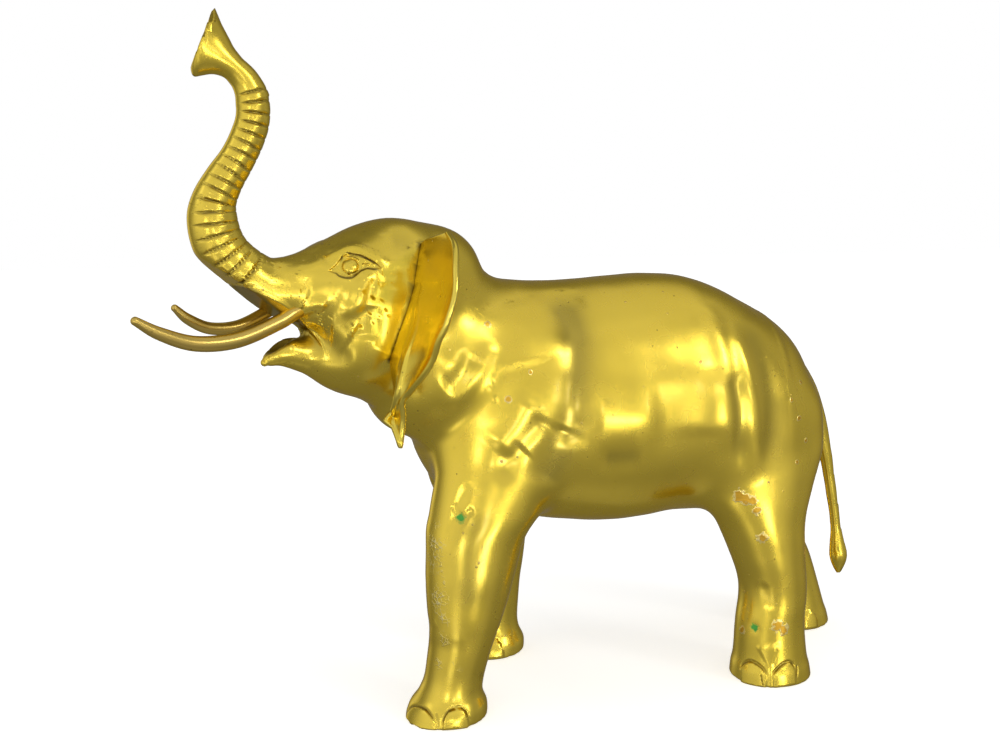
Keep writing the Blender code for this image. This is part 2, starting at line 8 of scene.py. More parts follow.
import bmesh
import bpy
import numpy as np
from mathutils.kdtree import KDTree
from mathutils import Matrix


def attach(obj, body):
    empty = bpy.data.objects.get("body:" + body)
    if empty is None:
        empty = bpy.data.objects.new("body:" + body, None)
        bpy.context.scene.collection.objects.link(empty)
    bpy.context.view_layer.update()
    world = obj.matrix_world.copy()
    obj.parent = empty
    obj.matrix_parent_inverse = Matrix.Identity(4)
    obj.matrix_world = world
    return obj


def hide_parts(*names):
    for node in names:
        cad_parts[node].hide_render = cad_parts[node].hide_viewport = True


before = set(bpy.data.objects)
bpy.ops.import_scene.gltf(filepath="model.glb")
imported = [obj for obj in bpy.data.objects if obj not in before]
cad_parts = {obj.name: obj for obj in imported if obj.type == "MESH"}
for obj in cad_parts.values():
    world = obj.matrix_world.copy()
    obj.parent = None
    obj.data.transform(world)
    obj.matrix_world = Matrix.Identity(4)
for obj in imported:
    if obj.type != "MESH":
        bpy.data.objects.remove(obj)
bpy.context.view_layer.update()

MM = 0.001
# The point of the working frame that is the object's origin.
ORIGIN = (53.8, -29.5, -1.5)

# Camera: degrees round from the elephant's left side and above it, the point aimed at, its distance, the
# focal length in pixels, and the photograph's middle in pixels.
VIEW_ROUND = 15.0
VIEW_ABOVE = 10.0
VIEW_AIM = (0.0, -104.0, 258.0)
VIEW_AWAY = 800.0
FOCAL = 1200.0
MIDDLE = (500.0, 375.0)

# The head's turn to its left, and the height of the soles.
TURN = math.radians(22.0)
SOLE = -1.5

# The barrel of the body: x, top, bottom, half width.
BARREL = [
    (-45, 276, 214, 30), (-20, 294, 178, 48), (10, 307, 150, 63), (40, 309.5, 133, 71),
    (75, 310, 126, 75), (110, 312, 122.5, 77), (145, 313.5, 125, 76), (175, 310.5, 132, 74),
    (205, 299, 140, 70.5), (235, 274, 154, 58),
]
BARREL_POWER = 2.15

# Leg sections: height, half length, half width.
FORE_SECTION = [
    (-1.5, 30.3, 29), (8, 28.4, 27.6), (17, 23.6, 23.6), (28, 22, 22.3), (45, 23, 23),
    (62, 25, 24), (80, 29, 26), (104, 33, 28), (128, 36.5, 29), (150, 43, 30),
    (175, 47, 30), (205, 48, 29), (240, 40, 24), (262, 18, 12),
]
HIND_SECTION = [
    (-1.5, 32.3, 30), (8, 31, 29), (18, 28.8, 27.3), (40, 27.3, 25.8), (62, 26.5, 25),
    (80, 27, 26), (100, 30, 27), (125, 36, 29), (150, 46.5, 31), (180, 58, 32),
    (215, 61, 33), (245, 44, 28), (268, 20, 14),
]
# Leg centre lines: height, x, y.
NEAR_FORE = [
    (-1.5, -28, -56), (18, -24.5, -56), (28, -22, -56), (62, -14.5, -56), (80, -12, -55),
    (128, -4, -50), (150, 6, -47), (175, 15, -44), (205, 22, -38), (240, 26, -26), (262, 26, -18),
]
FAR_FORE = [
    (-1.5, 32, 55), (18, 34.5, 55), (62, 34, 55), (104, 30, 52), (150, 25, 47),
    (205, 23, 38), (240, 26, 26), (262, 26, 18),
]
NEAR_HIND = [
    (-1.5, 236, -52), (40, 234, -52), (62, 235.5, -52), (80, 234.5, -51), (100, 230, -50),
    (125, 225, -47), (150, 222, -43), (180, 221, -38), (215, 215, -32), (245, 203, -22), (268, 200, -14),
]
FAR_HIND = [
    (-1.5, 309, 47), (18, 306, 47), (40, 301, 48), (62, 294, 48), (80, 285, 48), (100, 273, 47),
    (125, 257, 45), (150, 242, 42), (180, 229, 38), (215, 215, 32), (245, 203, 22), (268, 200, 14),
]

# Rounded masses: centre, half axes, and the tip nose down in degrees. The head's are in its own frame.
RUMP = ((194, 0, 209), (89, 71, 84))
CHEST = ((20, 0, 222), (64, 66, 85))
SKULL = ((-62, 0, 306), (62, 48, 53), 0)
NAPE = ((-27, 0, 319), (32, 38, 33), 6)
CHEEKS = ((-86, 0, 277), (44, 43, 39), 25)
NECK = ((-26, 0, 261), (50, 55, 66), -34)
HEAD_MASSES = (SKULL, NAPE, CHEEKS, NECK)
TROUGH = ((-158, 0, 284), (18, 7.5, 12), 8)

# Round bars along a path: x, y, z, radius.
TRUNK = [
    (-66, -26, 306, 47), (-86, -35, 309, 42), (-108, -43.5, 312, 34), (-127, -51, 312.5, 25),
    (-147, -57, 314.3, 21.3), (-161, -61, 323.8, 18.8), (-172, -62, 335.7, 17), (-178.6, -62, 347.3, 16.8),
    (-181.4, -62, 362.8, 16), (-179.6, -62, 373.7, 14.3), (-173, -62, 386.4, 12.5),
    (-164.6, -62, 399.1, 11.5), (-157.8, -62, 411.8, 11.2), (-153.4, -62, 424.4, 10.8),
    (-153.1, -62, 437, 10.6), (-156.6, -62, 448.6, 8.7), (-160.5, -62, 453.3, 8.0),
]
JAW = [
    (-80, 0, 260, 30), (-105, 0, 262, 20), (-130, 0, 268, 13.5), (-147, 0, 271.5, 10.2),
    (-157.5, 0, 268.8, 6.2), (-163, 0, 266, 2.8),
]
TAIL = [
    (256, 0, 252, 9), (273, 0, 236, 8.5), (288, 0, 214, 7.8), (299, 0, 187, 6.6), (306.8, 0, 160, 5.3),
    (312, 0, 137, 4.6), (316.6, 0, 115, 4.3), (319.8, 0, 97, 4.4), (321.5, 0, 84, 6.2),
    (323.6, 0, 71, 7.4), (324.4, 0, 61, 4.5), (324.6, 0, 55.5, 1.5),
]

# The trunk's flared mouth, in sections that fan about one point: angle, inner, outer, half width.
FAN = (-205.6, -62, 420.9)
TRUMPET = [
    (17, 45, 66, 9.6), (24, 46.4, 65.4, 9.5), (34.5, 46.6, 63.8, 9.6), (41, 45.8, 63, 9.9),
    (48.5, 42.4, 64, 10.4), (54, 38.4, 66.9, 11), (60, 34.8, 71.2, 12), (64, 35.4, 75.6, 12.8),
    (67.5, 38.2, 80.2, 13.5),
]

# Trunk rings, counted back from the trunk's mouth: how many, the first one's place, the pitch and its
# growth, the depth and the half width.
RINGS = 19
RING_START = 13.6
RING_PITCH = 6.4
RING_GROWTH = 0.085
RING_DEPTH = 1.15
RING_HALF = 0.95

# Eye, in the head's frame and mirrored to the far side: centre and ball radius.
EYE = (-111, -29.5, 330)
EYE_BALL = 5.6

# Toenails, apart from those drawn on the near feet: bearing of each from the foot's front in degrees, half
# width, top and thickness.
FORE_NAILS = (-87, -36, 36, 87)
HIND_NAILS = (-94, -50, -6, 50, 94)
NAIL_HALF = 8.5
NAIL_TOP = 15
NAIL_THICK = 1.3

# Each leg's sections, its centre line and its toenails' bearings.
LEGS = (
    (FORE_SECTION, NEAR_FORE, FORE_NAILS), (FORE_SECTION, FAR_FORE, FORE_NAILS),
    (HIND_SECTION, NEAR_HIND, HIND_NAILS), (HIND_SECTION, FAR_HIND, HIND_NAILS),
)

# Ears: thickness, how much fuller the rim is, half width of the dark line along the brazed seam, where
# across the ear its crease lies, as a share of the way, and the height of the fold there.
EAR_THICK = 3.2
EAR_BEAD = 0.3
SEAM_HALF = 0.9
EAR_SPLIT = 0.3
EAR_FOLD_RISE = 1.6
# Points of an ear's two faces that are closer than this, in metres, are one.
MERGE = 0.00002

# Near ear, in the head's frame, from its top to its lobe's tip: the brazed seam and then the free front
# edge, the crease beside it, and the outer rim. The three have stations at the same heights.
EAR_SEAM = [
    (-59, -33, 342), (-64.5, -37, 334), (-73.5, -44, 314), (-81.5, -43, 291), (-86.5, -41.5, 276.5),
    (-89, -40.5, 268), (-93, -48, 259), (-95.5, -55, 248), (-98.5, -58, 240.5), (-105, -57.5, 230.5),
    (-106, -58.5, 227), (-101, -64, 219), (-98.5, -67, 211.5),
]
EAR_CREASE = [
    (-61.5, -44.5, 347), (-69, -56, 332), (-78, -62, 309), (-85.5, -66, 288), (-92.5, -68, 274.5),
    (-96.5, -69, 266), (-99.5, -69.5, 258.5), (-101.5, -69, 250), (-100.5, -65, 242), (-97, -56, 231.5),
    (-99, -59, 226), (-99.5, -66, 218), (-98, -67.5, 211),
]
EAR_RIM = [
    (-68.5, -81, 354), (-77.5, -101.5, 345), (-87, -115, 320.5), (-93, -114, 299), (-96.5, -109, 287),
    (-97, -103.5, 275.5), (-98.5, -96, 264.5), (-100, -84.5, 253.5), (-100.5, -74.5, 245),
    (-98.5, -71, 233.5), (-97.5, -69.5, 225.5), (-97.5, -69, 216.5), (-97.5, -68, 211),
]
EAR_CUP = 5.0
# The ledge that crosses the near ear: the pixel row and column of its middle, and its height.
LEDGE_ROW = 284
LEDGE_COLUMN = 430
LEDGE_RISE = 1.1
# The ears' slow dents, and the way that dents, ledge and fold rise, in the head's frame.
DENT_RISE = 0.5
EAR_OUTWARD = (1.0, 0.25, 0)
# The far ear lies folded back along the neck, by degrees from a root so far off the middle, and is carried
# lower: its height above and below a middle one is drawn in by these shares.
EAR_FOLD = 60.0
EAR_ROOT = 46
EAR_MIDDLE = 285
EAR_RISE = 0.78
EAR_DROP = 0.6

# Tusks, in the head's frame: x, y, z, radius. The first stations lie in the socket.
NEAR_TUSK = [
    (-140, -15.5, 303, 5), (-150, -17, 299.5, 5), (-161, -17.5, 294.5, 5.1), (-190, -18, 285.8, 5.3),
    (-218, -18, 285.8, 5), (-241, -18, 294, 4.2), (-256, -18, 303, 2.8),
]
FAR_TUSK = [
    (-137, 13.5, 305, 4.2), (-146, 15, 301.5, 4.2), (-155, 15, 296.8, 4.3), (-175, 14, 289.8, 4.3),
    (-195, 13, 290.3, 4.1), (-210, 12, 297.5, 3.6), (-219, 11.5, 305.5, 2.4),
]

# Strokes of modelling on the body, seen in the photograph: the pixels along each, its half width and its
# height in millimetres. A groove's height is below zero.
STROKES = {
    "shoulder groove": (((548, 288), (565, 306), (575, 330), (578, 360), (575, 395), (571, 425), (566, 452)),
                        12, -3.2),
    "shoulder blade": (((500, 300), (520, 335), (530, 370)), 20, 1.6),
    "neck fold": (((496, 338), (486, 356), (474, 378), (460, 396), (438, 408)), 7, 1.5),
    "neck hollow": (((476, 352), (462, 374), (440, 388)), 9, -1.1),
    "arm front": (((536, 396), (522, 418), (508, 434), (494, 452)), 11, 1.8),
    "arm back": (((546, 426), (534, 440), (522, 452)), 8, 1.1),
    "arm valley": (((548, 412), (532, 434), (514, 456), (494, 482)), 7, -1.1),
    "arm fold": (((568, 424), (556, 452), (536, 486)), 12, -1.4),
    "forearm crease": (((470, 480), (456, 512), (447, 552)), 4, -1.0),
    "flank swell": (((590, 420), (625, 422), (665, 416)), 20, 1.2),
    "belly hollow": (((596, 462), (618, 459), (642, 455)), 12, -0.9),
    "haunch front ridge": (((700, 300), (714, 322), (722, 350), (727, 384), (729, 417), (726, 457)), 8, 1.4),
    "haunch front fold": (((731, 372), (737, 396), (740, 425), (739, 475)), 6, -1.4),
    "haunch back ridge": (((728, 318), (741, 345), (750, 377), (756, 410), (757, 448), (754, 487)), 7, 1.4),
    "haunch back fold": (((742, 318), (758, 348), (769, 385), (772, 425), (769, 470)), 11, -1.8),
    "haunch": (((700, 350), (704, 400), (700, 440)), 16, 1.2),
    "hock groove": (((763, 582), (766, 596), (770, 612)), 4, -0.8),
    "wrist": (((424, 632), (445, 637), (470, 640)), 6, 0.8),
    "knee dimple": (((459, 517.5), (460, 518), (461, 518.5)), 3.2, -2.2),
    "hock dimple": (((754, 627), (754.7, 627.4), (755.4, 627.8)), 2.8, -1.8),
    "dimple crease": (((452, 503), (456, 511), (459, 517)), 2.2, -0.7),
    "dimple crease 2": (((474, 508), (467, 514), (461, 518)), 2.2, -0.7),
    "tail ring": (((829.5, 546), (835, 548.5), (841, 547)), 1.6, 0.7),
    "tail cut": (((829.5, 550), (835, 552), (841, 550.5)), 1.4, -0.6),
    "chest pit": (((492, 384.5), (492, 385), (492.5, 386)), 2.0, -0.8),
    "chest pit 2": (((495, 398.5), (495, 399), (495.5, 400)), 2.0, -0.8),
}

# Painted shade on the skin, in the same way: pixels along each, half width, and depth of the painted shade
# from 0 to 1.
PAINTED_SHADE_STROKES = {
    "forearm": (((482, 505), (474, 550), (470, 620)), 13, 0.75),
    "under the flank": (((604, 458), (620, 457), (644, 456)), 6, 0.6),
    "under the shoulder": (((566, 440), (560, 462), (548, 486)), 9, 0.6),
    "behind the shoulder": (((560, 300), (574, 325), (579, 350)), 8, 0.35),
    "mouth's corner": (((294, 332), (300, 342), (306, 350)), 5, 0.6),
}

# The edge of the near lip, in pixels.
LIP = ((240, 284), (248, 288.6), (267.5, 296.2), (282.7, 303.8), (292.5, 312.4), (299, 319), (305.5, 326.5),
       (315.3, 337.4), (321.8, 347), (325, 358))

# The same on the side of the face, and mirrored to the far side.
FACE_STROKES = {
    "brow": (((322, 261), (335, 254.5), (345, 249.5), (355, 248), (366, 252), (378, 258.5), (391, 266)),
             4.6, 2.8),
    "nose line": (((287, 279), (300, 271), (313, 266), (326, 259)), 6, 1.0),
    "cheek ridge": (((378, 275), (369, 277), (363.5, 282), (361, 290), (359, 299), (355, 306), (346, 311),
                     (334, 313)), 4.6, 2.2),
    "cheekbone": (((298, 316), (304, 311), (311, 307), (320, 305), (328, 309)), 4.4, 2.0),
    "under the eye": (((305, 293), (325, 296), (345, 297)), 9, -0.7),
    "jowl hollow": (((309, 322), (316, 334), (325, 347), (340, 356), (356, 358)), 7, -1.3),
    "cheek hollow": (((368, 304), (369, 322), (367, 342)), 7, -0.9),
    "pillow": (((330, 328), (343, 331), (354, 337)), 9, 1.6),
    "forehead hollow": (((388, 238), (402, 240), (412, 248)), 9, -1.2),
    "lip edge": (LIP, 1.5, 1.2),
}

# Fine cuts, which hold dirt. The eye's outline and its creases, on both sides of the face.
EYE_CUTS = {
    "lower lid": (((328.8, 271.2), (335.9, 272.8), (339.7, 275.6), (345.6, 277.4), (351.5, 277.2),
                   (356, 274.3), (360.8, 270.1), (367.3, 268), (374.9, 269), (381.4, 268.2)), 0.75, -1.0),
    "upper lid": (((335.5, 264.6), (341, 259.5), (342.5, 255.5), (347.6, 253.2), (352.5, 254.4),
                   (359.7, 255.5), (367.3, 258.2), (374.9, 262.5), (381.4, 268)), 0.75, -1.0),
    "ball's edge": (((342, 262), (341.4, 268), (343.6, 272.6), (348.5, 274.6), (354.5, 273), (358.6, 269)),
                    0.7, -0.8),
    "inner corner": (((330, 270), (334.5, 267.5), (338, 263.5)), 0.7, -0.6),
}
EYE_RIDGES = {
    "upper rim": (((343.5, 258), (349, 257), (355, 258.2), (360.5, 261.5)), 0.9, 1.0),
    "lower rim": (((333, 270), (338.5, 273), (345, 275.8), (352, 275.6), (358, 271.5)), 0.8, 0.7),
    "outer curl": (((361.5, 263.5), (366, 264.8), (370.5, 263)), 1.0, 0.9),
    "corner curl": (((364, 258.8), (369.5, 261.8), (375.5, 266.5)), 0.8, 0.6),
}
EYE_OPENING = ((329, 271), (336, 273), (340, 275.6), (346, 277.2), (352, 277), (356, 274.3), (361, 270),
               (367.5, 268), (381.5, 268.3), (375, 262.5), (367.3, 258.2), (359.7, 255.5), (352, 254.4),
               (346, 254.5), (341, 258.7), (336, 265))
EYE_BALL_SEEN = (350.5, 265.8)
# The opening's depth in millimetres and soft edge in pixels, and how far the ball stands out of it.
OPENING_DEPTH = 1.1
OPENING_EDGE = 2.0
BALL_RISE = 3.4

# Toenail outlines and other cuts on the near feet.
FOOT_CUTS = {
    "fore nail": (((407, 712), (410, 708), (414, 706), (419.5, 706.3), (425.5, 709), (431, 715),
                   (435.5, 723)), 0.9, -1.5),
    "fore nail 2": (((442.5, 727), (443, 720), (446, 713.5), (451, 709), (457, 707), (462.5, 708),
                     (466.5, 712), (469, 724)), 0.9, -1.5),
    "toe line": (((436, 712), (437.5, 719), (438, 729)), 0.8, -0.8),
    "ankle crease": (((472, 672), (478, 674.5), (484, 677)), 0.8, -0.9),
    "hind nail": (((740, 669), (743, 664), (749, 661), (756, 663.5), (762.5, 668.5), (767.5, 676)),
                  0.9, -1.5),
    "hind nail 2": (((772.5, 675), (776.5, 669.5), (782, 664.5), (788, 661.5), (792.5, 663.5),
                     (795.5, 669)), 0.9, -1.5),
    "hind side cut": (((797, 664.5), (797.5, 670), (797, 678)), 0.8, -0.9),
    "hind toe line": (((761, 673), (761.5, 680), (763, 687)), 0.8, -0.8),
}

# Patches on the near feet and the face: corners in pixels, soft edge in pixels, height in millimetres.
FOOT_PATCHES = {
    "fore nail": (((407, 712), (413, 706.5), (420, 706.5), (427, 710), (433, 718), (436, 730), (414, 730),
                   (404, 722)), 2.0, 1.1),
    "fore nail 2": (((443, 730), (443.5, 719), (448, 711), (456, 707), (464, 708.5), (467.5, 714),
                     (470, 728)), 2.0, 1.1),
    "tendon": (((757, 646.5), (778.5, 646.5), (772.5, 664), (773, 690), (768, 690), (767, 664)), 4.5, 0.5),
    "hind nail": (((740, 669), (744, 663.5), (750, 661), (757, 664), (763, 669.5), (767, 677), (766, 688),
                   (741, 684)), 2.0, 1.0),
    "hind nail 2": (((774, 688), (773, 675), (778, 667.5), (785, 662.5), (791, 663), (795.5, 670),
                     (796, 684)), 2.0, 1.0),
}
FACE_PATCHES = {
    "temple": (((381, 286), (412, 282), (409, 300), (399, 330), (391, 352), (377, 346), (374, 320),
                (376, 300)), 9.0, -0.7),
    "temple dent": (((381, 274), (402, 272), (409, 278), (403, 288), (384, 286)), 9.0, -0.8),
}

# The mouth's corner: its outline in pixels, which has the lip's end for its upper edge, its soft edge, its
# depth in millimetres, its reach from the lip in pixels, and the share of the lip over which it fades.
MOUTH_CORNER = ((286, 312), *LIP[4:], (316, 361), (303, 356), (296, 345), (288, 337), (284, 326))
MOUTH_EDGE = 2.5
MOUTH_DEPTH = 2.0
MOUTH_REACH = 13
LIP_FADE = 0.45

# The skin that the brazing's heat has tinted, in front of the near ear, and its soft edge, in pixels.
TINTED = ((386, 268), (422, 244), (417, 270), (413, 290), (404, 322), (396, 345), (392, 358), (378, 352),
          (369, 340), (372, 312), (376, 284))
TINT_EDGE = 8.0

# How strongly dirt fills the eyes' cuts and those of the toes, for each millimetre of their depth, and the
# height of the unevenness that polishing by hand leaves.
EYE_DIRT = 2.2
TOE_DIRT = 0.8
HAND_RISE = 0.16

# The body's mesh: the box that holds the form, and the size of the mesh's cells before it is refined.
FORM_BOX = ((-222, -96, -9), (352, 96, 505))
CELL = 4.3

# Boxes on the body, each by its lowest and its highest corner. FAR is beyond the form on every side. These
# are in the working frame: the trunk, its ringed part, the near shoulder and haunch, the feet, and the sides
# of the near feet that face the camera, up to the toenails and then as far as cuts are drawn on them.
FAR = 999
TRUNK_BOX = ((-FAR, -FAR, 296), (-112, FAR, FAR))
RINGED_BOX = ((-FAR, -FAR, 296), (-112, FAR, 452))
SHOULDER_BOX = ((-45, -FAR, 130), (75, -20, 300))
HAUNCH_BOX = ((165, -FAR, 130), (262, -20, 285))
FEET_BOX = ((-FAR, -FAR, -FAR), (FAR, FAR, 30))
FORE_TOES_BOX = ((-FAR, -FAR, -FAR), (-30, -20, 34))
HIND_TOES_BOX = ((190, -FAR, -FAR), (FAR, -40, 34))
DRAWN_FEET_BOX = ((-FAR, -FAR, -FAR), (FAR, -30, 60))
# These are in the head's frame: the face from brow to jaw, the lip with the open mouth and the jaw's tip,
# the part of the head that is drawn from the photograph, the mouth's inside, and, with the far side mirrored
# to the near one, the eyes and a closer box about each.
FACE_BOX = ((-FAR, -FAR, 250), (-84, FAR, 360))
LIP_BOX = ((-FAR, -FAR, 262), (-122, 8, 322))
DRAWN_FACE_BOX = ((-FAR, -FAR, 240), (-50, FAR, FAR))
MOUTH_BOX = ((-FAR, -FAR, -FAR), (-115, FAR, 318))
EYE_BOX = ((EYE[0] - 27, -FAR, EYE[2] - 15), (EYE[0] + 27, -18, EYE[2] + 15))
CLOSE_EYE_BOX = ((EYE[0] - 22, -FAR, EYE[2] - 12), (EYE[0] + 22, -18, EYE[2] + 12))
# Only the near eye lies so far to the left.
NEAR_EYE_SIDE = -30

# Rays from the camera: where they start, how much of the field's value each step goes, and the steps.
RAY_START = 560.0
RAY_PACE = 0.8
RAY_STEPS = 70


def curve(stations, count=240):
    """A smooth curve through the stations: cubic spans with each slope from the neighbours."""
    s = np.asarray(stations, float)
    ends = np.vstack([2 * s[:1] - s[1:2], s, 2 * s[-1:] - s[-2:-1]])
    t = np.linspace(0, len(s) - 1, count)
    i = np.minimum(t.astype(int), len(s) - 2)
    f = (t - i)[:, None]
    a, b, c, d = ends[i], ends[i + 1], ends[i + 2], ends[i + 3]
    return 0.5 * (2 * b + (c - a) * f + (2 * a - 5 * b + 4 * c - d) * f**2 + (3 * b - a - 3 * c + d) * f**3)


def follow(stations, at):
    """The stations' further columns where their first column has the value at."""
    c = curve(stations)
    at = np.clip(at, c[0, 0], c[-1, 0])
    return [np.interp(at, c[:, 0], c[:, k]) for k in range(1, c.shape[1])]


def blend(a, b, soft):
    """Union of two forms: the lower value, and lower still, by up to soft / 4, where the two are alike."""
    h = np.clip(0.5 + 0.5 * (b - a) / soft, 0, 1)
    return b + (a - b) * h - soft * h * (1 - h)


def carve(a, b, soft):
    """The first form with the second taken out of it, its edge rounded."""
    return -blend(-a, b, soft)


def common(a, b, soft):
    """What two forms share, its edge rounded."""
    return -blend(-a, -b, soft)


def turned(p, angle):
    """Points turned about Z by minus the angle, as a frame turned by the angle sees them."""
    c, s = math.cos(angle), math.sin(angle)
    return np.stack([p[:, 0] * c + p[:, 1] * s, -p[:, 0] * s + p[:, 1] * c, p[:, 2]], 1)


def ellipsoid(p, centre, radii, pitch=0.0):
    """Signed distance, nearly, to an ellipsoid that is tipped nose down by pitch degrees."""
    q = p - np.asarray(centre, float)
    c, s = math.cos(math.radians(pitch)), math.sin(math.radians(pitch))
    q = np.stack([q[:, 0] * c + q[:, 2] * s, q[:, 1], -q[:, 0] * s + q[:, 2] * c], 1)
    r = np.asarray(radii, float)
    k0 = np.sqrt(((q / r) ** 2).sum(1)) + 1e-9
    k1 = np.sqrt(((q / r**2) ** 2).sum(1)) + 1e-12
    return k0 * (k0 - 1) / k1


def leg(p, section, line):
    """A leg: ovals stacked on height along its centre line, with a flat sole."""
    length, width = follow(section, p[:, 2])
    x, y = follow(line, p[:, 2])
    q = np.sqrt(((p[:, 0] - x) / length) ** 2 + ((p[:, 1] - y) / width) ** 2)
    side = common((q - 1) * np.minimum(length, width), SOLE - p[:, 2], 2.5)
    return np.maximum(side, p[:, 2] - section[-1][0])


def bar(p, stations, count=160):
    """A round bar along a path: its field, the place along it from 0 to 1, and the offset from its line.

    Beyond the path's box the field is only the distance to that box.
    """
    reach = np.array([s[:3] for s in stations])
    widest = max(s[3] for s in stations)
    beyond = np.maximum(reach.min(0) - widest - p, p - reach.max(0) - widest).max(1)
    near = beyond < 30
    field, place, offset = beyond, np.zeros(len(p)), np.ones((len(p), 3))
    if near.any():
        field[near], place[near], offset[near] = close_bar(p[near], stations, count)
    return field, place, offset


def close_bar(p, stations, count):
    """The bar's field, place and offset, by the nearest of many points along its line."""
    c = curve(stations, count)
    path, radius = c[:, :3], c[:, 3]
    tangent = np.gradient(path, axis=0)
    step = np.linalg.norm(tangent, axis=1)
    tangent /= step[:, None]
    index = np.zeros(len(p), int)
    for start in range(0, len(p), 20000):
        part = slice(start, start + 20000)
        apart = (p[part]**2).sum(1)[:, None] - 2 * p[part] @ path.T + (path**2).sum(1)[None]
        index[part] = (np.sqrt(np.maximum(apart, 0)) - radius[None]).argmin(1)
    along = ((p - path[index]) * tangent[index]).sum(1)
    place = np.clip(index + along / step[index], 0, count - 1)
    low = np.minimum(place.astype(int), count - 2)
    w = (place - low)[:, None]
    offset = p - path[low] * (1 - w) - path[low + 1] * w
    r = radius[low] * (1 - w[:, 0]) + radius[low + 1] * w[:, 0]
    return np.linalg.norm(offset, axis=1) - r, place / (count - 1), offset


def barrel(p):
    """The barrel of the body: squared ovals stacked on x."""
    top, bottom, width = follow(BARREL, p[:, 0])
    middle = (top + bottom) / 2 - 4
    height = np.where(p[:, 2] > middle, top - middle, middle - bottom)
    q = np.abs(p[:, 1] / width) ** BARREL_POWER + np.abs((p[:, 2] - middle) / height) ** BARREL_POWER
    f = (q ** (1 / BARREL_POWER) - 1) * np.minimum(width, height)
    beyond = np.maximum(BARREL[0][0] - p[:, 0], p[:, 0] - BARREL[-1][0])
    return np.where(beyond > 0, np.hypot(np.maximum(f, 0), beyond) + np.minimum(f, 0), f)


def trumpet(p):
    """The flared end of the trunk: ovals fanned about one point, cut by a flat rim and dished."""
    q = p - np.array(FAN)
    reach = np.hypot(q[:, 0], q[:, 2]) + 1e-6
    angle = np.degrees(np.arctan2(q[:, 2], q[:, 0]))
    inner, outer, width = follow(TRUMPET, angle)
    middle, half = (inner + outer) / 2, (outer - inner) / 2
    f = (np.hypot((reach - middle) / half, q[:, 1] / width) - 1) * np.minimum(half, width)
    f = common(f, np.radians(angle - TRUMPET[-1][0]) * reach, 1.6)
    f = np.where((angle < -60) | (angle > 170), 60.0, f)
    f = np.maximum(f, np.radians(TRUMPET[0][0] - angle) * reach)
    rim = math.radians(TRUMPET[-1][0])
    along = q[:, 0] * math.cos(rim) + q[:, 2] * math.sin(rim)
    out = -q[:, 0] * math.sin(rim) + q[:, 2] * math.cos(rim)
    middle = (TRUMPET[-1][1] + TRUMPET[-1][2]) / 2
    dish = ellipsoid(np.stack([along, q[:, 1], out], 1), (middle - 3, 0, 1), (16, 9.6, 6))
    return f, dish


def gape(h):
    """The open mouth, in the head's frame: a wedge between the palate and the lower jaw."""
    palate = 0.642 * (h[:, 0] + 160) + 0.767 * (h[:, 2] - 302)
    jaw = 281.5 - 0.12 * (h[:, 0] + 140) - h[:, 2]
    wedge = common(palate, jaw, 4)
    throat = h[:, 0] + 143 - 9 * np.exp(-((h[:, 1] / 11) ** 2))
    return np.maximum(common(wedge, throat, 4), np.abs(h[:, 1]) - 40)


def head(p):
    """Skull, cheeks, neck, lower jaw and trunk, with the open mouth."""
    h = turned(p, TURN)
    skull, nape, cheeks, neck = (ellipsoid(h, *mass) for mass in HEAD_MASSES)
    f = blend(blend(skull, nape, 10), cheeks, 16)
    f = blend(f, bar(p, TRUNK)[0], 10)
    f = blend(f, neck, 14)
    f = blend(f, bar(h, JAW, 60)[0], 10)
    f = carve(f, gape(h), 2.5)
    return carve(f, ellipsoid(h, *TROUGH), 2)


def body(p, dished=True):
    """The whole casting: barrel, rump, chest, legs, head, trunk and tail, and the trunk's dish if asked."""
    f = barrel(p)
    f = blend(f, ellipsoid(p, *RUMP), 12)
    f = blend(f, ellipsoid(p, *CHEST), 14)
    for section, line, _ in LEGS:
        f = blend(f, leg(p, section, line), 14)
    f = blend(f, head(p), 13)
    flare, dish = trumpet(p)
    f = blend(f, flare, 2)
    if dished:
        f = carve(f, dish, 1.5)
    return blend(f, bar(p, TAIL)[0], 5)


def rings(p):
    """Depth of the grooves round the trunk: over its top and sides, fading out to a plain strip beneath."""
    field, place, offset = bar(p, TRUNK)
    line = curve(TRUNK, 160)[:, :3]
    steps = np.linalg.norm(np.diff(line, axis=0), axis=1)
    run = np.concatenate([[0], np.cumsum(steps)])
    back = run[-1] - np.interp(place, np.linspace(0, 1, len(run)), run)
    tangent = np.gradient(line, axis=0)
    tangent = tangent[np.minimum((place * 160).astype(int), 159)]
    under = np.cross(tangent, (0, 1, 0))
    under /= np.linalg.norm(under, axis=1)[:, None]
    turn = (offset * under).sum(1) / (np.linalg.norm(offset, axis=1) + 1e-6)
    fade = np.clip((0.86 - turn) / 0.5, 0, 1) * np.clip((turn + 1.15) / 0.6, 0.3, 1)
    depth = np.zeros(len(p))
    start = RING_START
    for count in range(RINGS):
        wander = 0.5 * math.sin(2.3 * count) * turn
        depth += np.exp(-(((back - start - wander) / (RING_HALF * (0.5 + 0.5 * fade))) ** 2))
        start += RING_PITCH + RING_GROWTH * count
    return RING_DEPTH * depth * fade * (np.abs(field) < 12)


def nails(p):
    """Height of the toenails over the feet: arched pads round the front of each foot."""
    height = np.zeros(len(p))
    for section, line, bearings in LEGS:
        _, x, y = line[0]
        radius = section[0][1]
        away = np.hypot(p[:, 0] - x, p[:, 1] - y)
        bearing = np.degrees(np.arctan2(p[:, 1] - y, -(p[:, 0] - x)))
        for middle in bearings:
            across = np.radians((bearing - middle + 180) % 360 - 180) * radius
            pad = 1 - (across / NAIL_HALF) ** 2 - (np.maximum(p[:, 2] - 2, 0) / NAIL_TOP) ** 2
            height += NAIL_THICK * np.clip(pad / 0.35, 0, 1) * (away < radius + 12) * (p[:, 2] < 40)
    return height * np.clip((p[:, 2] - SOLE - 1) / 2, 0, 1)


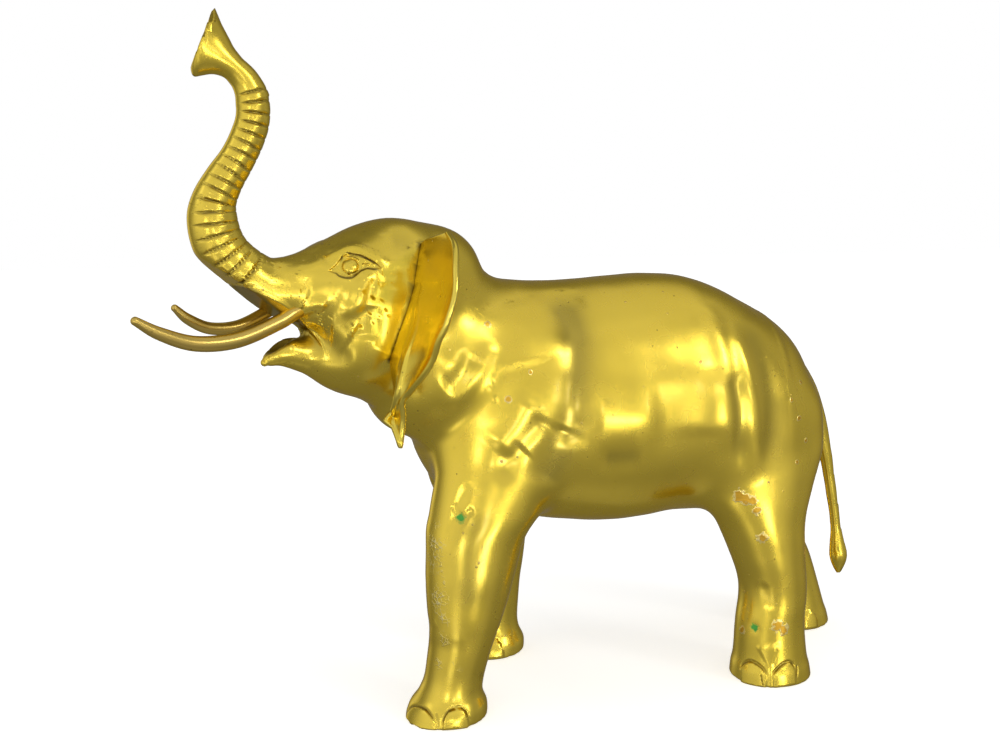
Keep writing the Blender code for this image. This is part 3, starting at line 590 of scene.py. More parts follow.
def view_axes():
    """The camera's right, forward and up directions, from its two angles."""
    a, e = math.radians(VIEW_ROUND), math.radians(VIEW_ABOVE)
    right = np.array((math.cos(a), -math.sin(a), 0))
    forward = np.array((math.sin(a) * math.cos(e), math.cos(a) * math.cos(e), -math.sin(e)))
    return right, forward, np.cross(right, forward)


def seen(pixels):
    """The places on the body that the camera sees at the pixels: rays stepped forward by the field."""
    right, forward, up = view_axes()
    start = np.array(VIEW_AIM) - VIEW_AWAY * forward
    pixels = np.asarray(pixels, float)
    ray = forward + (pixels[:, :1] - MIDDLE[0]) / FOCAL * right - (pixels[:, 1:] - MIDDLE[1]) / FOCAL * up
    ray /= np.linalg.norm(ray, axis=1)[:, None]
    run = np.full(len(ray), RAY_START)
    for _ in range(RAY_STEPS):
        run += RAY_PACE * np.clip(body(start + run[:, None] * ray), -20, 50)
    return start + run[:, None] * ray


def placed(p):
    """Working millimetres to metres in the object's own frame."""
    return (np.asarray(p, float) - np.array(ORIGIN)) * MM


def from_head(h):
    """Points of the head's frame in the working frame."""
    return turned(np.asarray(h, float), -TURN)


def shown(p):
    """The pixels of the photograph at which the camera sees the points."""
    right, forward, up = view_axes()
    q = p - np.array(VIEW_AIM)
    scale = FOCAL / (VIEW_AWAY + q @ forward)
    return np.stack([MIDDLE[0] + scale * (q @ right), MIDDLE[1] - scale * (q @ up)], 1)


def near_side(h):
    """Points of the head's frame with those of the far side mirrored to the near one."""
    return np.stack([h[:, 0], -np.abs(h[:, 1]), h[:, 2]], 1)


def beside(p, stations):
    """How far points are from a curved line, and where along it, from 0 to 1, each is nearest."""
    path = curve(stations, 60)
    slope = np.gradient(path, axis=0)
    i = np.linalg.norm(p[:, None] - path[None], axis=2).argmin(1)
    offset = p - path[i]
    step = (offset * slope[i]).sum(1) / (slope[i] ** 2).sum(1)
    step = np.clip(step, np.where(i > 0, -1.0, 0.0), np.where(i < len(path) - 1, 1.0, 0.0))
    return np.linalg.norm(offset - step[:, None] * slope[i], axis=1), (i + step) / (len(path) - 1)


def drawn(table, to_head=False):
    """A table's strokes with their pixels carried onto the body, in the head's frame if asked."""
    lines = []
    for pixels, half, height in table.values():
        line = seen(curve(pixels, 24))
        if to_head:
            line = near_side(turned(line, TURN))
        lines.append((line, half, height))
    return lines


def strokes(p, lines):
    """Height of the strokes, each a rounded swell or groove.

    It is e to the minus square of the distance over the half width, times the stroke's height and a fade.
    The fade rises as a squared sine over the first and last fifth, and is a constant for a mere dot.
    """
    total = np.zeros(len(p))
    for line, half, height in lines:
        near = np.all((p > line.min(0) - 3 * half) & (p < line.max(0) + 3 * half), axis=1)
        if not near.any():
            continue
        away, place = beside(p[near], line)
        fade = 0.4
        if np.linalg.norm(line[-1] - line[0]) > half:
            fade = np.sin(np.pi / 2 * np.clip(5 * np.minimum(place, 1 - place), 0, 1)) ** 2
        total[near] += height * fade * np.exp(-((away / half) ** 2))
    return total


def within(pixels, corners, edge):
    """1 inside the polygon of pixels and 0 outside it, with a soft edge."""
    here = np.asarray(corners, float)
    there = np.roll(here, -1, axis=0)
    span = there - here
    off = pixels[:, None] - here[None]
    along = np.clip((off * span).sum(2) / (span**2).sum(1), 0, 1)
    away = np.linalg.norm(off - along[..., None] * span, axis=2).min(1)
    x, y = pixels[:, :1], pixels[:, 1:]
    level = (here[:, 1] > y) != (there[:, 1] > y)
    reach = here[:, 0] + span[:, 0] * (y - here[:, 1]) / np.where(span[:, 1] == 0, 1, span[:, 1])
    inside = (level & (x < reach)).sum(1) % 2 == 1
    mask = np.clip(0.5 + np.where(inside, away, -away) / edge, 0, 1)
    return mask * mask * (3 - 2 * mask)


def patches(pixels, table):
    """Height of a table's patches at the pixels."""
    total = np.zeros(len(pixels))
    for corners, edge, height in table.values():
        low, high = np.min(corners, axis=0) - edge, np.max(corners, axis=0) + edge
        near = np.all((pixels > low) & (pixels < high), axis=1)
        if near.any():
            total[near] += height * within(pixels[near], corners, edge)
    return total


def mouth_corner(pixels):
    """1 just under the near lip's edge, in the corner of the mouth, falling away from that edge.

    It is e to the minus square of the distance over the reach, and fades evenly to nothing at the lip's end.
    """
    flat = np.concatenate([pixels, np.zeros((len(pixels), 1))], axis=1)
    line = [(x, y, 0) for x, y in LIP]
    mask = within(pixels, MOUTH_CORNER, MOUTH_EDGE)
    some = mask > 0
    away, place = beside(flat[some], line)
    mask[some] *= np.exp(-((away / MOUTH_REACH) ** 2)) * np.clip((1 - place) / LIP_FADE, 0, 1)
    return mask


def near_eye(h):
    """Height of the eyeball, a dome, and of the sunk opening about it, in the near side's head frame."""
    ball = near_side(turned(seen([EYE_BALL_SEEN]), TURN))[0]
    away = np.linalg.norm(h - ball, axis=1)
    height = np.zeros(len(h))
    close = away < 40
    pixels = shown(from_head(h[close]))
    height[close] = -OPENING_DEPTH * within(pixels, EYE_OPENING, OPENING_EDGE)
    dome = np.sqrt(np.maximum(1 - (away[close] / EYE_BALL) ** 2, 0))
    height[close] += BALL_RISE * dome
    return height


def hand_work(p):
    """The slow unevenness that filing and polishing leave: products of sines, some bent by a slower sine.

    They reach a fraction of a millimetre, and end above the soles.
    """
    x, y, z = p.T
    wave = np.sin(x / 13 + 1.7 * np.sin(z / 21)) * np.sin(z / 11 + 1.3 * np.sin(y / 17))
    wave += 0.6 * np.sin(x / 7.3 + z / 9.1 + 2 * np.sin(y / 12)) * np.sin(z / 8.7 - x / 10.3)
    return HAND_RISE * wave * np.clip((z - 12) / 20, 0, 1)


def contour(field, low, high, cell, block=4):
    """Quads round the surface where the field is zero: a vertex in each crossed cell, a quad on each edge.

    The field is sampled on a grid of blocks first, and then in full in blocks that the surface may cross.
    """
    axes = []
    for a, b in zip(low, high):
        count = int(math.ceil((b - a) / (cell * block))) * block + 1
        axes.append(a + cell * np.arange(count))
    coarse = np.stack(np.meshgrid(*(axis[::block] for axis in axes), indexing="ij"), -1)
    rough = field(coarse.reshape(-1, 3)).reshape(coarse.shape[:3])
    near = np.zeros(tuple(n - 1 for n in rough.shape), bool)
    for corner in np.ndindex(2, 2, 2):
        near |= np.abs(rough[tuple(slice(c, n - 1 + c) for c, n in zip(corner, rough.shape))]) < cell * block
    values = np.empty(tuple(len(axis) for axis in axes))
    pick = [np.minimum(np.arange(len(axis)) // block, (len(axis) - 1) // block - 1) for axis in axes]
    values[:] = rough[np.ix_(*pick)]
    full = np.zeros(values.shape, bool)
    for i, j, k in np.argwhere(near) * block:
        full[i:i + block + 1, j:j + block + 1, k:k + block + 1] = True
    places = np.argwhere(full)
    values[full] = field(np.stack([axes[n][places[:, n]] for n in range(3)], 1))
    inside = values < 0
    filled = sum(inside[tuple(slice(c, n - 1 + c) for c, n in zip(corner, values.shape))].astype(int)
                 for corner in np.ndindex(2, 2, 2))
    crossed = (filled > 0) & (filled < 8)
    name = np.full(crossed.shape, -1)
    cells = np.argwhere(crossed)
    name[crossed] = np.arange(len(cells))
    points = np.stack([axes[n][cells[:, n]] for n in range(3)], 1) + cell / 2
    quads = []
    for n in range(3):
        u, v = (n + 1) % 3, (n + 2) % 3
        ahead = [slice(None)] * 3
        ahead[n] = slice(1, None)
        behind = [slice(None)] * 3
        behind[n] = slice(None, -1)
        first = inside[tuple(behind)]
        edge = np.argwhere(first != inside[tuple(ahead)])
        out = first[tuple(edge.T)]
        ring = []
        for du, dv in ((1, 1), (0, 1), (0, 0), (1, 0)):
            at = edge.copy()
            at[:, u] -= du
            at[:, v] -= dv
            ring.append(name[tuple(at.T)])
        quad = np.stack(ring, 1)
        quad[~out] = quad[~out][:, ::-1]
        quads.append(quad)
    return points, np.concatenate(quads)


def gradient(field, p, step=0.05):
    """The field at the points, and its slope by small steps along each axis."""
    value = field(p)
    slope = np.empty_like(p)
    for axis in range(3):
        moved = p.copy()
        moved[:, axis] += step
        slope[:, axis] = (field(moved) - value) / step
    return value, slope


def settle(field, p, rounds, reach=3.0):
    """Points carried onto the form, a step along its slope each round."""
    for _ in range(rounds):
        value, slope = gradient(field, p)
        move = -(value / ((slope**2).sum(1) + 1e-9))[:, None] * slope
        size = np.linalg.norm(move, axis=1) + 1e-9
        p = p + move * np.minimum(1, reach / size)[:, None]
    return p


def relax(p, edges):
    """Points moved half way to the mean of their neighbours, which evens out the mesh."""
    total = np.zeros_like(p)
    count = np.zeros(len(p))
    for one, other in ((0, 1), (1, 0)):
        for axis in range(3):
            total[:, axis] += np.bincount(edges[:, one], p[edges[:, other], axis], len(p))
        count += np.bincount(edges[:, one], minlength=len(p))
    return (p + total / count[:, None]) / 2


def mesh_points(mesh):
    """A mesh's vertices as an array."""
    flat = np.empty(len(mesh.vertices) * 3)
    mesh.vertices.foreach_get("co", flat)
    return flat.reshape(-1, 3)


def mesh_edges(mesh):
    """A mesh's edges as pairs of vertex numbers."""
    flat = np.empty(len(mesh.edges) * 2, int)
    mesh.edges.foreach_get("vertices", flat)
    return flat.reshape(-1, 2)


def new_mesh(name, points, faces):
    """A mesh from arrays of vertices and of quads."""
    mesh = bpy.data.meshes.new(name)
    mesh.vertices.add(len(points))
    mesh.vertices.foreach_set("co", np.asarray(points, float).ravel())
    mesh.loops.add(faces.size)
    mesh.loops.foreach_set("vertex_index", faces.ravel().astype(np.int32))
    mesh.polygons.add(len(faces))
    mesh.polygons.foreach_set("loop_start", np.arange(0, faces.size, faces.shape[1], dtype=np.int32))
    mesh.update(calc_edges=True)
    mesh.validate()
    return mesh


def refine(mesh, region, upright=False):
    """Each edge with both ends in the region, or only the steep ones there, split in two with its faces."""
    points = mesh_points(mesh)
    pairs = mesh_edges(mesh)
    chosen = region(points)[pairs].all(1)
    if upright:
        span = points[pairs[:, 1]] - points[pairs[:, 0]]
        chosen &= np.abs(span[:, 2]) > 0.72 * np.linalg.norm(span, axis=1)
    bm = bmesh.new()
    bm.from_mesh(mesh)
    bm.edges.ensure_lookup_table()
    split = [bm.edges[i] for i in np.flatnonzero(chosen)]
    bmesh.ops.subdivide_edges(bm, edges=split, cuts=1, use_grid_fill=True)
    bm.to_mesh(mesh)
    bm.free()


def in_boxes(p, *boxes):
    """True for the points inside any of the boxes."""
    inside = np.zeros(len(p), bool)
    for low, high in boxes:
        inside |= np.all((p > low) & (p < high), axis=1)
    return inside


def plate_distance(h):
    """How far points of the head's frame, or their mirror images, are from the near ear's middle surface."""
    sheet = ear_sheet(40, 90)[0][:30, :50].reshape(-1, 3)
    tree = KDTree(len(sheet))
    for number, point in enumerate(sheet):
        tree.insert(point, number)
    tree.balance()
    away = np.full(len(h), 99.0)
    close = np.all((h > sheet.min(0) - 8) & (h < sheet.max(0) + 8), axis=1)
    away[close] = [tree.find(point)[2] for point in h[close]]
    return away


def store(mesh, name, values):
    """Values from 0 to 1 kept on the mesh's vertices, for its material to read."""
    layer = mesh.attributes.new(name, "FLOAT", "POINT")
    layer.data.foreach_set("value", np.clip(values, 0, 1))


def linked(name, mesh):
    """An object for the finished mesh, smooth shaded, at the origin, unturned and unscaled."""
    mesh.shade_smooth()
    thing = bpy.data.objects.new(name, mesh)
    bpy.context.scene.collection.objects.link(thing)
    return thing


def evened(p, edges, rounds):
    """Points drawn towards their neighbours and settled on the form again, round by round."""
    for _ in range(rounds):
        p = settle(body, relax(p, edges), 1)
    return p


def casting_mesh():
    """The form's mesh, evened out, and made finer where it will be carved.

    The contour leaves out the trunk's dish, whose wall is thinner than a cell. The points settle on it.
    """
    points, faces = contour(lambda q: body(q, False), *FORM_BOX, CELL)
    mesh = new_mesh("brass_body", points, faces)
    p = evened(settle(body, points, 4), mesh_edges(mesh), 3)
    mesh.vertices.foreach_set("co", p.ravel())
    refine(mesh, lambda q: in_boxes(q, TRUNK_BOX, SHOULDER_BOX, HAUNCH_BOX, FEET_BOX)
           | in_boxes(turned(q, TURN), FACE_BOX))
    refine(mesh, lambda q: in_boxes(q, FORE_TOES_BOX, HIND_TOES_BOX) | in_boxes(turned(q, TURN), LIP_BOX)
           | in_boxes(near_side(turned(q, TURN)), EYE_BOX))
    for _ in range(2):
        refine(mesh, lambda q: in_boxes(q, RINGED_BOX), upright=True)
    refine(mesh, lambda q: in_boxes(near_side(turned(q, TURN)), CLOSE_EYE_BOX) & (q[:, 1] < NEAR_EYE_SIDE))
    return mesh


def carved(q, lines):
    """The carved form: the field plus the depth of the rings, less the height of all other relief."""
    h = near_side(turned(q, TURN))
    height = strokes(q, lines["skin"]) + strokes(h, lines["face"])
    height += strokes(h, lines["eye cuts"] + lines["eye ridges"]) + near_eye(h)
    height += hand_work(q)
    face = in_boxes(h, DRAWN_FACE_BOX)
    pixels = shown(from_head(h[face]))
    height[face] += patches(pixels, FACE_PATCHES) - MOUTH_DEPTH * mouth_corner(pixels)
    toes = in_boxes(q, FORE_TOES_BOX, HIND_TOES_BOX, DRAWN_FEET_BOX)
    height[toes] += patches(shown(q[toes]), FOOT_PATCHES) + strokes(q[toes], lines["feet"])
    height[~toes] += nails(q[~toes])
    return body(q) + rings(q) - height


def store_dirt_and_painted_shade(mesh, p, lines):
    """The casting's dirt, the painted shade in its mouth, its heat tint, and the painted shade of its
    hollows and along its shade strokes, stored on its mesh.
    """
    h = near_side(turned(p, TURN))
    face = in_boxes(h, DRAWN_FACE_BOX)
    pixels = shown(from_head(h[face]))
    dirt = rings(p) / RING_DEPTH
    dirt -= EYE_DIRT * strokes(h, lines["eye cuts"]) + TOE_DIRT * strokes(p, lines["feet"])
    seam = np.maximum(plate_distance(h[face]) - EAR_THICK / 2, 0)
    dirt[face] = np.maximum(dirt[face], np.exp(-((seam / SEAM_HALF) ** 2)))
    # Painted shade inside the open mouth, in the jaw's trough and in the mouth's corner.
    inside = np.exp(-((gape(h) / 2.0) ** 2)) + np.exp(-((ellipsoid(h, *TROUGH) / 2.0) ** 2))
    inside *= in_boxes(h, MOUTH_BOX)
    inside[face] += 0.9 * mouth_corner(pixels)
    # Painted shade: darker tone along the shade strokes and in the deeper hollows of the body and face.
    hollows = [line for line in lines["skin"] if line[2] < -1.0 and line[1] > 5]
    face_hollows = [line for line in lines["face"] if line[2] < -0.8]
    painted_shade = strokes(p, drawn(PAINTED_SHADE_STROKES)) - (strokes(p, hollows) + strokes(h, face_hollows)) / 3.0
    tint = np.zeros(len(p))
    tint[face] = within(pixels, TINTED, TINT_EDGE)
    store(mesh, "recess", dirt)
    store(mesh, "mouth", inside)
    store(mesh, "tint", tint)
    store(mesh, "painted_shade", painted_shade)


def make_body():
    """The body casting: its mesh settled on the carved form, whose slope gives its normals."""
    mesh = casting_mesh()
    lines = {"skin": drawn(STROKES), "face": drawn(FACE_STROKES, True), "eye cuts": drawn(EYE_CUTS, True),
             "eye ridges": drawn(EYE_RIDGES, True), "feet": drawn(FOOT_CUTS)}
    p = evened(settle(body, mesh_points(mesh), 1), mesh_edges(mesh), 2)
    p = settle(lambda q: carved(q, lines), p, 3, reach=1.2)
    mesh.vertices.foreach_set("co", placed(p).ravel())
    slope = gradient(lambda q: carved(q, lines), p, 0.15)[1]
    store_dirt_and_painted_shade(mesh, p, lines)
    mesh.update()
    thing = linked("brass_body", mesh)
    mesh.normals_split_custom_set_from_vertices(slope / np.linalg.norm(slope, axis=1)[:, None])
    return thing


def ear_sheet(rows, columns, mirrored=False):
    """The ear's middle surface, from the seam over the crease to the rim, cupped, with its places across."""
    lines = [EAR_SEAM, EAR_CREASE, EAR_RIM]
    if mirrored:
        lines = [folded(line) for line in lines]
    a, b, c = (curve(line, columns)[None] for line in lines)
    s = 0.5 - 0.5 * np.cos(np.pi * np.linspace(0, 1, rows))[:, None, None]
    t = np.linspace(0, 1, columns)[None, :, None]
    first = np.clip(s / EAR_SPLIT, 0, 1)
    second = np.clip((s - EAR_SPLIT) / (1 - EAR_SPLIT), 0, 1)
    sheet = a + (b - a) * first + (c - b) * second
    sheet[..., :1] += EAR_CUP * np.sin(np.pi * second) * np.sin(np.pi * np.clip(t * 1.45, 0, 1))
    return sheet, s[..., 0] + 0 * t[..., 0]


def smoothed(grid, times):
    """A grid of points with each drawn towards the mean of its row neighbours, which rounds a crease."""
    for _ in range(times):
        grid = grid.copy()
        grid[1:-1] = (grid[:-2] + 2 * grid[1:-1] + grid[2:]) / 4
    return grid


def run_across(sheet):
    """How far each point of the sheet lies from its first row, measured over the sheet."""
    step = np.linalg.norm(np.diff(sheet, axis=0), axis=2)
    return np.concatenate([np.zeros((1, sheet.shape[1])), np.cumsum(step, axis=0)])


def grid_faces(rows, columns, start=0):
    """Quads of a grid of points that are numbered row by row from start."""
    i = start + np.arange(rows - 1)[:, None] * columns + np.arange(columns - 1)[None]
    return np.stack([i, i + 1, i + columns + 1, i + columns], -1).reshape(-1, 4)


def folded(points):
    """Near ear points mirrored to the far side, folded back, and drawn in towards the middle height."""
    out = []
    c, s = math.cos(math.radians(EAR_FOLD)), math.sin(math.radians(EAR_FOLD))
    for x, y, z in points:
        away = max(-y - EAR_ROOT, 0)
        rise = EAR_RISE if z > EAR_MIDDLE else EAR_DROP
        out.append((x + s * away, min(-y, EAR_ROOT) + c * away, EAR_MIDDLE + rise * (z - EAR_MIDDLE)))
    return out


def make_ear(name, mirrored=False):
    """A bent plate: its middle surface, with ledge, dents and fold, thickened both ways along its normal.

    The half thickness falls to nothing at every edge as a quarter circle does, and is fuller along the rim.
    """
    rows, columns = 90, 150
    sheet, across = ear_sheet(rows, columns, mirrored)
    sheet = from_head(smoothed(sheet, 3).reshape(-1, 3)).reshape(sheet.shape)
    outward = from_head([EAR_OUTWARD])[0]
    if not mirrored:
        pixels = shown(sheet.reshape(-1, 3)).reshape(rows, columns, 2)
        column, row = pixels[..., 0], pixels[..., 1]
        ledge = np.tanh((row - LEDGE_ROW) / 2.5) * np.exp(-(((row - LEDGE_ROW) / 14) ** 2))
        ledge *= np.exp(-(((column - LEDGE_COLUMN) / 12) ** 4))
        dents = np.sin(row / 9) * np.sin(column / 7 + row / 23)
        sheet = sheet + (LEDGE_RISE * ledge + DENT_RISE * dents)[..., None] * outward
    over = run_across(sheet)
    apart = over - over[np.abs(across[:, 0] - EAR_SPLIT).argmin()]
    along = np.linspace(0, 1, columns)[None]
    low = np.clip((along - 0.12) / 0.25, 0, 1)
    fold = np.exp(-((apart / 1.5) ** 2)) - 0.9 * np.exp(-(((apart + 4.5) / 3.0) ** 2))
    sheet = sheet - (EAR_FOLD_RISE * low * fold)[..., None] * outward
    normal = np.cross(np.gradient(sheet, axis=0), np.gradient(sheet, axis=1))
    normal /= np.linalg.norm(normal, axis=2)[..., None] + 1e-9
    down = np.concatenate([[0], np.cumsum(np.linalg.norm(np.diff(sheet[rows // 2], axis=0), axis=1))])
    over = run_across(sheet)
    rim = over[-1:] - over
    edge = np.minimum(np.minimum(over, rim), np.minimum(down, down[-1] - down)[None])
    half = EAR_THICK / 2
    depth = np.sqrt(np.maximum(half**2 - (half - np.minimum(edge, half)) ** 2, 0))
    depth *= 1 + EAR_BEAD * np.exp(-(((rim - 2.0) / 1.8) ** 2)) * (across > 0.5)
    front = sheet + depth[..., None] * normal
    back = sheet - depth[..., None] * normal
    points = np.concatenate([front.reshape(-1, 3), back.reshape(-1, 3)])
    faces = np.concatenate([grid_faces(rows, columns), grid_faces(rows, columns, rows * columns)[:, ::-1]])
    mesh = new_mesh(name, placed(points), faces)
    brazed = np.clip((0.55 - along) / 0.1, 0, 1) + 0 * over
    # Painted shade in the hollow beside the crease's fold.
    crease = 0.5 * low * np.exp(-(((apart + 3.0) / 2.0) ** 2))
    dirt = np.exp(-((body(points) / SEAM_HALF) ** 2)) * np.tile(brazed.ravel(), 2)
    store(mesh, "recess", np.maximum(dirt, np.tile(crease.ravel(), 2)))
    bm = bmesh.new()
    bm.from_mesh(mesh)
    bmesh.ops.remove_doubles(bm, verts=bm.verts, dist=MERGE)
    bmesh.ops.recalc_face_normals(bm, faces=bm.faces)
    bm.to_mesh(mesh)
    bm.free()
    return linked(name, mesh)


def make_tusk(name, stations):
    """A round bar along a curved path, tapering to a rounded tip."""
    count, sides = 90, 36
    c = curve(stations, count)
    path, radius = c[:, :3], c[:, 3]
    tangent = np.gradient(path, axis=0)
    tangent /= np.linalg.norm(tangent, axis=1)[:, None]
    cap = np.linspace(0, np.pi / 2, 10)[1:]
    path = np.concatenate([path, path[-1] + np.sin(cap)[:, None] * radius[-1] * tangent[-1]])
    radius = np.concatenate([radius, radius[-1] * np.maximum(np.cos(cap), 0.02)])
    tangent = np.concatenate([tangent, np.repeat(tangent[-1:], len(cap), 0)])
    side = np.cross(tangent, (0, 1, 0))
    side /= np.linalg.norm(side, axis=1)[:, None]
    third = np.cross(tangent, side)
    turn = np.linspace(0, 2 * np.pi, sides, endpoint=False)
    ring = np.cos(turn)[None, :, None] * side[:, None] + np.sin(turn)[None, :, None] * third[:, None]
    points = (path[:, None] + radius[:, None, None] * ring).reshape(-1, 3)
    first = np.arange(len(path) - 1)[:, None] * sides
    here = first + np.arange(sides)[None]
    beyond = first + (np.arange(sides)[None] + 1) % sides
    faces = np.stack([here, beyond, beyond + sides, here + sides], -1).reshape(-1, 4)
    mesh = new_mesh(name, placed(from_head(points)), faces)
    bm = bmesh.new()
    bm.from_mesh(mesh)
    bmesh.ops.holes_fill(bm, edges=[edge for edge in bm.edges if edge.is_boundary])
    bmesh.ops.recalc_face_normals(bm, faces=bm.faces)
    bm.to_mesh(mesh)
    bm.free()
    return linked(name, mesh)


class Worth:
    """A shader socket to reckon with: sums on it, also with a number put first, add Math nodes."""

    def __init__(self, tree, socket):
        self.tree = tree
        self.socket = socket

    def join(self, operation, one, other, clamp=False):
        node = self.tree.nodes.new("ShaderNodeMath")
        node.operation = operation
        node.use_clamp = clamp
        for slot, item in zip(node.inputs, (one, other)):
            if isinstance(item, Worth):
                self.tree.links.new(item.socket, slot)
            else:
                slot.default_value = item
        return Worth(self.tree, node.outputs[0])

    def __add__(self, other):
        return self.join("ADD", self, other)

    __radd__ = __add__

    def __mul__(self, other):
        return self.join("MULTIPLY", self, other)

    __rmul__ = __mul__

    def __sub__(self, other):
        return self.join("SUBTRACT", self, other)

    def __rsub__(self, other):
        return self.join("SUBTRACT", other, self)

    def __truediv__(self, other):
        return self.join("DIVIDE", self, other)

    def power(self, other):
        return self.join("POWER", self, other)

    def most(self, other):
        return self.join("MAXIMUM", self, other)

    def size(self):
        """The value without its sign."""
        return self.join("ABSOLUTE", self, 0.0)

    def held(self):
        """The value kept between 0 and 1."""
        return self.join("ADD", self, 0.0, clamp=True)

    def ramp(self, low, high):
        """0 at low, 1 at high, straight between, and no further."""
        return ((self - low) / (high - low)).held()


class Finish:
    """A material in the making: its nodes, its object coordinates and its shader."""

    def __init__(self, name):
        self.material = bpy.data.materials.new(name)
        self.material.use_nodes = True
        self.tree = self.material.node_tree
        self.shader = self.tree.nodes["Principled BSDF"]
        self.place = self.node("ShaderNodeTexCoord", {}, {}).outputs["Object"]

    def node(self, kind, settings, inputs):
        """A node of the kind, with its settings made first and then its sockets' values or links."""
        node = self.tree.nodes.new(kind)
        for key, item in settings.items():
            setattr(node, key, item)
        for key, item in inputs.items():
            self.feed(node.inputs[key], item)
        return node

    def feed(self, slot, item):
        """A socket given a value, or a link from a socket or a Worth."""
        if isinstance(item, Worth):
            item = item.socket
        if isinstance(item, bpy.types.NodeSocket):
            self.tree.links.new(item, slot)
        else:
            slot.default_value = item

    def noise(self, scale, detail=2.0, rough=0.5, stretch=(1, 1, 1), shift=(0, 0, 0)):
        """Cloudy noise of so many waves to the metre."""
        mapping = self.node("ShaderNodeMapping", {},
                            {"Vector": self.place, "Scale": stretch, "Location": shift})
        node = self.node("ShaderNodeTexNoise", {}, {"Vector": mapping.outputs[0], "Scale": scale,
                                                    "Detail": detail, "Roughness": rough})
        return Worth(self.tree, node.outputs[0])

    def cells(self, scale, feature="F1"):
        """Distance to the nearest of scattered points, in the points' own spacing."""
        node = self.node("ShaderNodeTexVoronoi", {"feature": feature},
                         {"Vector": self.place, "Scale": scale})
        return Worth(self.tree, node.outputs["Distance"])

    def spot(self, point, radius, edge, ragged):
        """1 within the radius of a place in the object's frame, fading to 0 beyond a ragged edge."""
        node = self.node("ShaderNodeVectorMath", {"operation": "DISTANCE"}, {0: self.place, 1: tuple(point)})
        away = Worth(self.tree, node.outputs["Value"]) / radius + (ragged - 0.5) * 2.2
        return 1 - away.ramp(1 - edge, 1 + edge)

    def spots(self, places, edge, ragged):
        """1 within any of the spots, each given by its pixel and its half width in millimetres."""
        total = None
        for pixel, half in places:
            mask = self.spot(placed(seen([pixel]))[0], half * MM, edge, ragged)
            total = mask if total is None else total.most(mask)
        return total

    def attribute(self, name):
        """A value stored on the mesh."""
        node = self.node("ShaderNodeAttribute", {"attribute_name": name}, {})
        return Worth(self.tree, node.outputs["Fac"])

    def blend(self, mask, under, over):
        """The colour over on the colour under, by the mask."""
        node = self.node("ShaderNodeMix", {"data_type": "RGBA"}, {0: mask, 6: under, 7: over})
        return node.outputs[2]

    def bump(self, height, strength, distance, under=None):
        """A bump, on top of an earlier one if there is one."""
        inputs = {"Height": height, "Strength": strength, "Distance": distance}
        if under is not None:
            inputs["Normal"] = under
        return self.node("ShaderNodeBump", {}, inputs).outputs[0]

    def done(self, **inputs):
        """The shader's sockets set, and the finished material."""
        for key, item in inputs.items():
            self.feed(self.shader.inputs[key.replace("_", " ")], item)
        return self.material


# Brass keeps its colour where it is seen edge on.
EDGE_TINT = (0.95, 0.80, 0.36, 1)


def polished_brass(name, bright, deep, rough):
    """Hand polished brass: tone that drifts between two shades, brushed, with scattered pits and flecks."""
    make = Finish(name)
    drift = make.noise(14, 3).ramp(0.35, 0.65)
    colour = make.blend(drift, (*bright, 1), (*deep, 1))
    brushed = make.noise(900, 2, 0.6, stretch=(1, 1, 0.08))
    pits = 1 - make.cells(150).ramp(0.05, 0.11)
    pitted = (pits * make.noise(30, 2).ramp(0.52, 0.60)).held()
    colour = make.blend(pitted * 0.8, colour, (0.16, 0.09, 0.015, 1))
    specks = 1 - make.cells(95).ramp(0.05, 0.09)
    flecked = (specks * make.noise(22, 2, shift=(3, 5, 7)).ramp(0.55, 0.62)).held()
    colour = make.blend(flecked * 0.8, colour, (0.95, 0.66, 0.22, 1))
    satin = make.noise(60, 2).ramp(0.3, 0.7) * 0.08 + rough + flecked * 0.25
    fine = make.bump(brushed, 0.10, 0.0004)
    normal = make.bump(flecked - pitted, 0.5, 0.0005, fine)
    return make, colour, satin, normal


# Copper coloured patches where the surface has corroded: each one's pixel and half width in millimetres.
SCARS = (((740, 496), 4.6), ((746, 499), 4.2), ((752, 501), 3.6), ((757, 511), 2.8), ((763, 538), 3.8),
         ((778, 626), 4.2), ((783, 629), 3.8), ((742, 630), 2.8), ((508, 400), 2.6), ((799, 418), 1.8),
         ((487, 325), 2.4), ((502, 462), 1.6), ((700, 362), 1.2), ((530, 372), 1.5), ((801, 382), 1.6),
         ((806, 440), 1.5), ((797, 462), 1.4), ((792, 400), 1.3))
# Verdigris, in the same way.
VERDIGRIS = (((460, 518), 3.4), ((754.7, 627.4), 2.9))
# The crackled crust down the near foreleg, in the same way, and its cells to the metre. Its veins are
# painted paler, partly as a painted highlight.
CRUST = (((435, 542), 6.5), ((433, 560), 6.5), ((435, 580), 6.5), ((437, 600), 6.5), ((441, 620), 5.5),
         ((443, 640), 4), ((434, 525), 4), ((439, 664), 3), ((456, 668), 3.5))
CRUST_CELLS = 300


